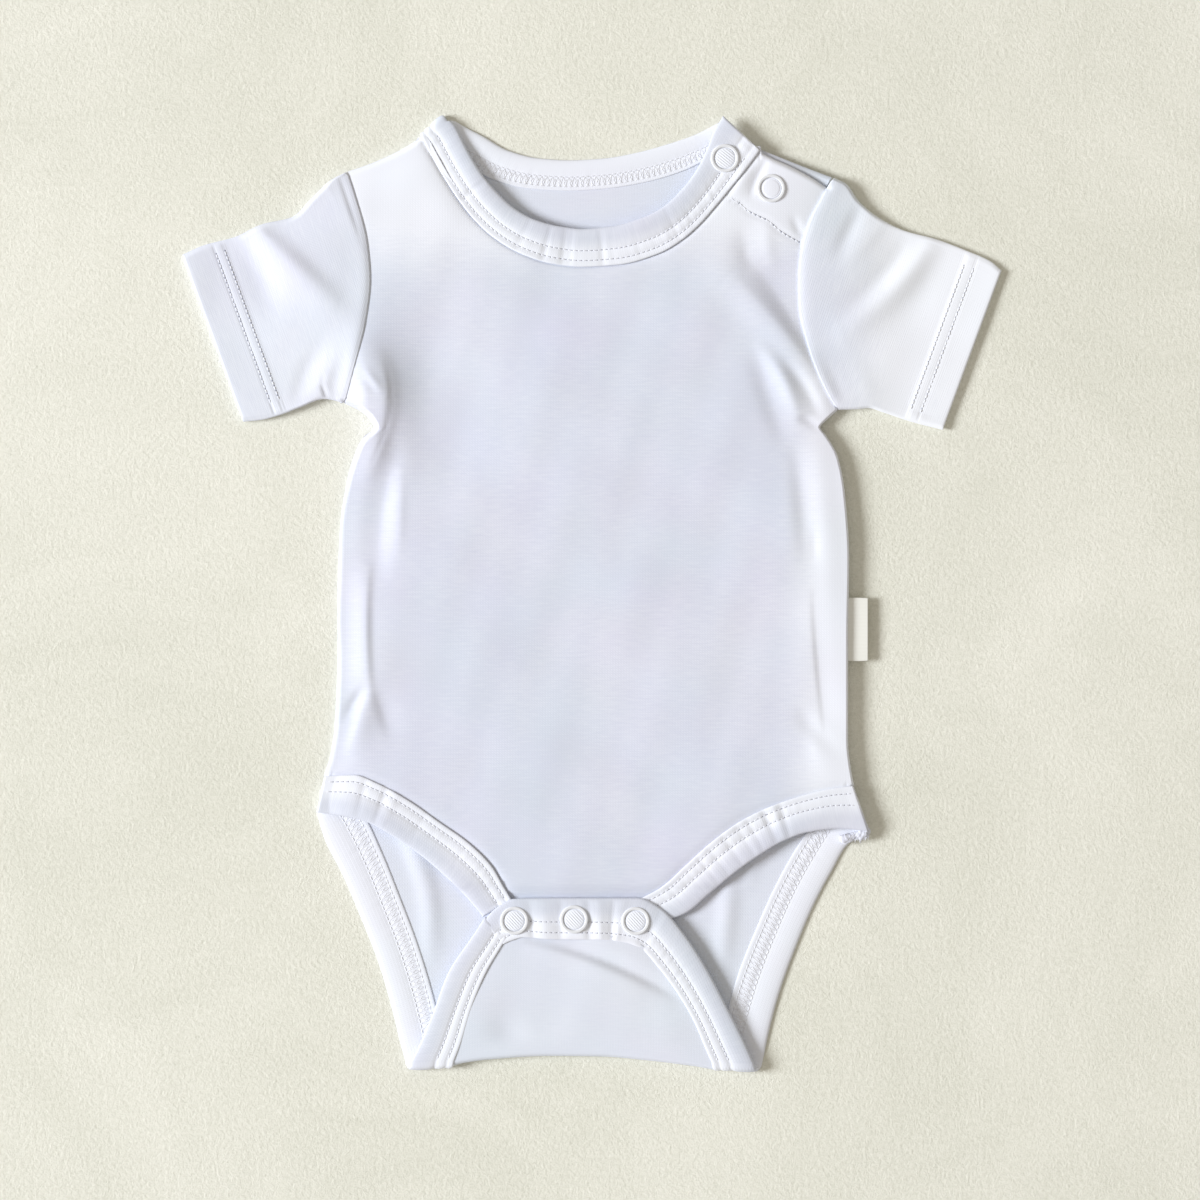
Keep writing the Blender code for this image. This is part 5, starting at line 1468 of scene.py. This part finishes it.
def seam_end_points(u, v):
    """A tube along its table's line: the radius is the table's, wrinkled by waves that turn round it."""
    shares, *columns = SEAM_END.values()
    core_x, core_y, radius = (smooth(shares, column, v) for column in columns)
    turn = math.tau * u
    wrinkle = 0.07 * np.sin(5 * turn + 23 * v) + 0.06 * np.sin(3 * turn - 41 * v + 1.0)
    wrinkle += 0.04 * np.sin(9 * turn + 60 * v)
    radius = radius * (1 + wrinkle)
    heading = np.arctan2(np.gradient(core_y, axis=0), np.gradient(core_x, axis=0))
    x = core_x - np.sin(heading) * radius * np.cos(turn)
    y = core_y + np.cos(heading) * radius * np.cos(turn)
    z = SEAM_END_HEIGHT + SEAM_END_FLAT * radius * np.sin(turn)
    return x, y, z


u, v = grid(48, 90)
x, y, z = seam_end_points(u, v)
# Its UV runs 0 to 12 mm round its girth, so the binding cloth's painted fold shade darkens part of it
seam_end = surface("seam_end_cloth", x, y, z, SEAM_END_GIRTH * u, SEAM_END_LENGTH * v, weld=True)
seam_end.data.materials.append(binding_jersey)
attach(seam_end, "root")

# Looper thread wound over the roll, and its cut tail
rows = np.arange(12, 84, 3)
over_from = np.stack([x[rows, 4], y[rows, 4], z[rows, 4] + 0.1], axis=1)
over_to = np.stack([x[rows + 3, 20], y[rows + 3, 20], z[rows + 3, 20] + 0.1], axis=1)
tails = np.arange(12)
roots = 44 + 3 * tails
tail_from = np.stack([x[roots, 30], y[roots, 30], z[roots, 2]], axis=1)
lean_y = -1.3 - 0.6 * np.cos(1.7 * tails)
tail_lean = np.stack([0.9 * np.sin(2.3 * tails), lean_y, 0.5 * np.sin(1.1 * tails)], axis=1)
start = np.concatenate([over_from, tail_from])
end = np.concatenate([over_to, tail_from + tail_lean])
threads("seam_end_threads", start, end, 0.13, sewing_thread, 1.0, 0.5)

# Side label: a woven satin label, folded and caught in the right side seam, left blank. It lies almost
# level, about 3 mm up, just outside the seam, with heat-cut long edges.
LABEL_IN_X = 94.6
LABEL_OUT_X = 102.1
LABEL_LOW_Y = -25.8
LABEL_LENGTH = 23.2
LABEL_HEIGHT = 3.1
LABEL_THICKNESS = 0.7
u, v = grid(24, 60)
x = LABEL_IN_X + (LABEL_OUT_X - LABEL_IN_X) * u
y = LABEL_LOW_Y + LABEL_LENGTH * v + 0.25 * np.sin(math.pi * u) * (v - 0.5)
z = LABEL_HEIGHT - 0.1 * u + 0.15 * np.sin(math.pi * v) * u
label = surface("side_label_cloth", x, y, z, x, y)
wall(label, LABEL_THICKNESS)
woven, tree, shader = new_material("woven_satin")
place = add(tree, "ShaderNodeTexCoord").outputs["Object"]
settings = {"wave_type": "BANDS", "bands_direction": "Y"}
weave = add(tree, "ShaderNodeTexWave", settings, _0=place, Scale=620.0, Distortion=0.6)
weave_bump = add(tree, "ShaderNodeBump", Height=weave.outputs["Fac"], Strength=0.25, Distance=0.00008)
deep, pale = linear("#eeeee6"), linear("#f8f8f3")
satin = add(tree, "ShaderNodeMix", TWO_COLOURS, _0=weave.outputs["Fac"], _6=deep, _7=pale)
tree.links.new(satin.outputs[2], shader.inputs["Base Color"])
tree.links.new(weave_bump.outputs["Normal"], shader.inputs["Normal"])
shader.inputs["Roughness"].default_value = 0.45
label.data.materials.append(woven)
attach(label, "root")
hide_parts("side_label")

# Ring snaps: white enamelled prong rings, pressed through the cloth onto studs and sockets between the
# layers. Each has a thick rolled rim, a fine groove, and the cloth stretched over the prongs within it.
# A snap is over the flap's binding (0), the neck binding (1) or the bare shoulder (2), and its knit's
# ribs are turned by rib_turn
SNAPS = table(
    "x y over rib_turn",
    (-28.7, -121.8, 0.0, 0.75),
    (-6.6, -121.3, 0.0, 0.75),
    (16.1, -121.9, 0.0, 0.75),
    (49.1, 159.9, 1.0, 0.9),
    (66.2, 148.8, 2.0, 0.0),
)
SNAP_NAMES = ("crotch_left", "crotch_middle", "crotch_right", "neck_tab", "shoulder")
RING = table(
    "radius height",
    (3.92, -0.5),
    (3.94, 0.0),
    (4.02, 0.2),
    (4.14, 0.33),
    (4.3, 0.42),
    (4.5, 0.45),
    (4.6, 0.4),
    (4.7, 0.45),
    (4.88, 0.45),
    (5.04, 0.37),
    (5.18, 0.2),
    (5.28, 0.0),
    (5.24, -0.3),
    (5.1, -0.5),
)
DISC = 3.88
# Heights over the cloth below: the bindings, the ring, and the dome of cloth in it with its ribs
FLAP_BINDING_RISE = 0.45
NECK_BINDING_RISE = 0.5
RING_SEAT = 0.3
DOME_SEAT = 0.35
DOME_RISE = 0.25
RIB_RISE = 0.08
RIB_PITCH = 0.86
# How far the dome's cloth is taken from a binding's fold, so that it gets none of the painted fold shade
DISC_FROM_FOLD = 100.0


def enamel_material():
    """White baked enamel on brass: smooth and hard, with a clean soft gloss and faint handling marks."""
    material, tree, shader = new_material("ring_enamel")
    place = add(tree, "ShaderNodeTexCoord").outputs["Object"]
    marks = add(tree, "ShaderNodeTexNoise", _0=place, Scale=700.0, Detail=3.0)
    gloss = add(tree, "ShaderNodeMapRange", _0=marks.outputs["Fac"], _3=0.26, _4=0.4)
    deep, pale = linear("#e3e5ea"), linear("#eef0f4")
    tint = add(tree, "ShaderNodeMix", TWO_COLOURS, _0=marks.outputs["Fac"], _6=deep, _7=pale)
    tree.links.new(tint.outputs[2], shader.inputs["Base Color"])
    tree.links.new(gloss.outputs[0], shader.inputs["Roughness"])
    shader.inputs["Coat Weight"].default_value = 0.25
    return material


ring_enamel = enamel_material()
for name, x0, y0, over, rib_turn in zip(SNAP_NAMES, *SNAPS.values()):
    spot = np.array([x0]), np.array([y0])
    on_panel = float(front_skin(*spot)[0])
    base = (FLAP_LEVEL + FLAP_BINDING_RISE, on_panel + NECK_BINDING_RISE, on_panel)[int(over)]
    turn = np.linspace(0, math.tau, 73)[None, :]
    radius, height = (column[::-1, None] for column in RING.values())
    x, y = x0 + radius * np.cos(turn), y0 + radius * np.sin(turn)
    z = base + RING_SEAT + height + 0 * turn
    ring = surface(f"snap_ring_{name}_enamel", x, y, z, turn * radius, height + 0 * turn, weld=True)
    ring.data.materials.append(ring_enamel)
    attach(ring, "root")
    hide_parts(f"snap_ring_{name}")

    # The cloth in the ring: a low dome, ribbed where the knit is stretched
    away = np.linspace(0.02, DISC, 36)[::-1, None]
    x, y = x0 + away * np.cos(turn), y0 + away * np.sin(turn)
    across_ribs = (x - x0) * math.cos(rib_turn) + (y - y0) * math.sin(rib_turn)
    ribs = RIB_RISE * np.sin(math.tau * across_ribs / RIB_PITCH) * ease((DISC - away) / 0.5) * (over < 2)
    pressed = 0.12 * (over == 2) * np.exp(-(((away - 3.3) / 0.2) ** 2))
    rim = 0.4 * np.exp(-(DISC - away) / 0.2) + pressed
    z = base + DOME_SEAT + DOME_RISE * (1 - (away / DISC) ** 2) + ribs - rim
    disc = surface(f"snap_cloth_{name}", x, y, z, x + DISC_FROM_FOLD, y, weld=True)
    disc.data.materials.append(binding_jersey)
    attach(disc, "root")

# Studs and sockets: nickel-plated brass, pressed from sheet, bright but finely scuffed. They are hidden
# between the layers and keep their solids.
plated, tree, shader = new_material("plated_brass_scuffed")
place = add(tree, "ShaderNodeTexCoord").outputs["Object"]
scuffs = add(tree, "ShaderNodeTexNoise", _0=place, Scale=1200.0, Detail=4.0)
dull = add(tree, "ShaderNodeMapRange", _0=scuffs.outputs["Fac"], _3=0.25, _4=0.5)
tree.links.new(dull.outputs[0], shader.inputs["Roughness"])
shader.inputs["Base Color"].default_value = linear("#cecbc4")
shader.inputs["Metallic"].default_value = 1.0
for name in SNAP_NAMES:
    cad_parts[f"snap_stud_{name}"].material_slots[0].material = plated

# Floor: a pale cream surface with a fine plaster grain and slow, faint clouding, kept plain. It is flat,
# and lies a hair below the garment.
FLOOR_REACH = 1500.0
FLOOR_LEVEL = -0.05
ground, tree, shader = new_material("pale_floor")
place = add(tree, "ShaderNodeTexCoord").outputs["Object"]
cloud = add(tree, "ShaderNodeTexNoise", _0=place, Scale=9.0, Detail=7.0, Roughness=0.7, Distortion=0.8)
grit = add(tree, "ShaderNodeTexNoise", _0=place, Scale=620.0, Detail=5.0, Roughness=0.8)
blend = add(tree, "ShaderNodeMath", TIMES_PLUS, _0=grit.outputs["Fac"], _1=1.3, _2=cloud.outputs["Fac"])
share = add(tree, "ShaderNodeMapRange", _0=blend.outputs[0], _1=0.85, _2=1.45)
deep, pale = linear("#e6e6d8"), linear("#fbfaef")
tint = add(tree, "ShaderNodeMix", TWO_COLOURS, _0=share.outputs[0], _6=deep, _7=pale)
grit_bump = add(tree, "ShaderNodeBump", Height=grit.outputs["Fac"], Strength=0.8, Distance=0.0008)
tree.links.new(tint.outputs[2], shader.inputs["Base Color"])
tree.links.new(grit_bump.outputs["Normal"], shader.inputs["Normal"])
shader.inputs["Roughness"].default_value = 0.95
reach = np.array([-FLOOR_REACH, FLOOR_REACH])
x, y = np.meshgrid(reach, reach)
floor = surface("floor", x, y, np.full(x.shape, FLOOR_LEVEL), x, y)
floor.data.materials.append(ground)

# Light: one broad soft light, low on the left, and even, slightly warmer light from all round. The first
# stands far enough off to fall evenly across the floor.
KEY_WATTS = 592.0
KEY_SIZE = 2.66
KEY_FROM = (-5.95, -0.1, 3.57)
KEY_COLOUR = (0.919, 0.949, 1.0)
SKY_STRENGTH = 0.445
key_data = bpy.data.lights.new("softbox", "AREA")
key_data.shape = "DISK"
key_data.size = KEY_SIZE
key_data.energy = KEY_WATTS
key_data.color = KEY_COLOUR
key = bpy.data.objects.new("softbox", key_data)
key.location = KEY_FROM
key.rotation_euler = (
    math.atan2(math.hypot(KEY_FROM[0], KEY_FROM[1]), KEY_FROM[2]),
    0.0,
    math.atan2(KEY_FROM[1], KEY_FROM[0]) + math.pi / 2,
)
bpy.context.scene.collection.objects.link(key)
world = bpy.data.worlds.new("sky")
world.use_nodes = True
background = world.node_tree.nodes["Background"]
background.inputs["Color"].default_value = linear("#fff7ea")
background.inputs["Strength"].default_value = SKY_STRENGTH
bpy.context.scene.world = world
bpy.context.scene.view_settings.view_transform = "Standard"

# Camera: straight above, as in the photograph, far enough off to look square on. Its lens takes in a
# square of the floor VIEW_WIDTH across.
CAMERA_HEIGHT = 2.2
VIEW_WIDTH = 0.4444
SENSOR = 36.0
camera_data = bpy.data.cameras.new("above")
camera_data.sensor_width = SENSOR
camera_data.lens = SENSOR * CAMERA_HEIGHT / VIEW_WIDTH
camera = bpy.data.objects.new("above", camera_data)
camera.location = (0.00296, -0.00333, CAMERA_HEIGHT)
bpy.context.scene.collection.objects.link(camera)
bpy.context.scene.camera = camera
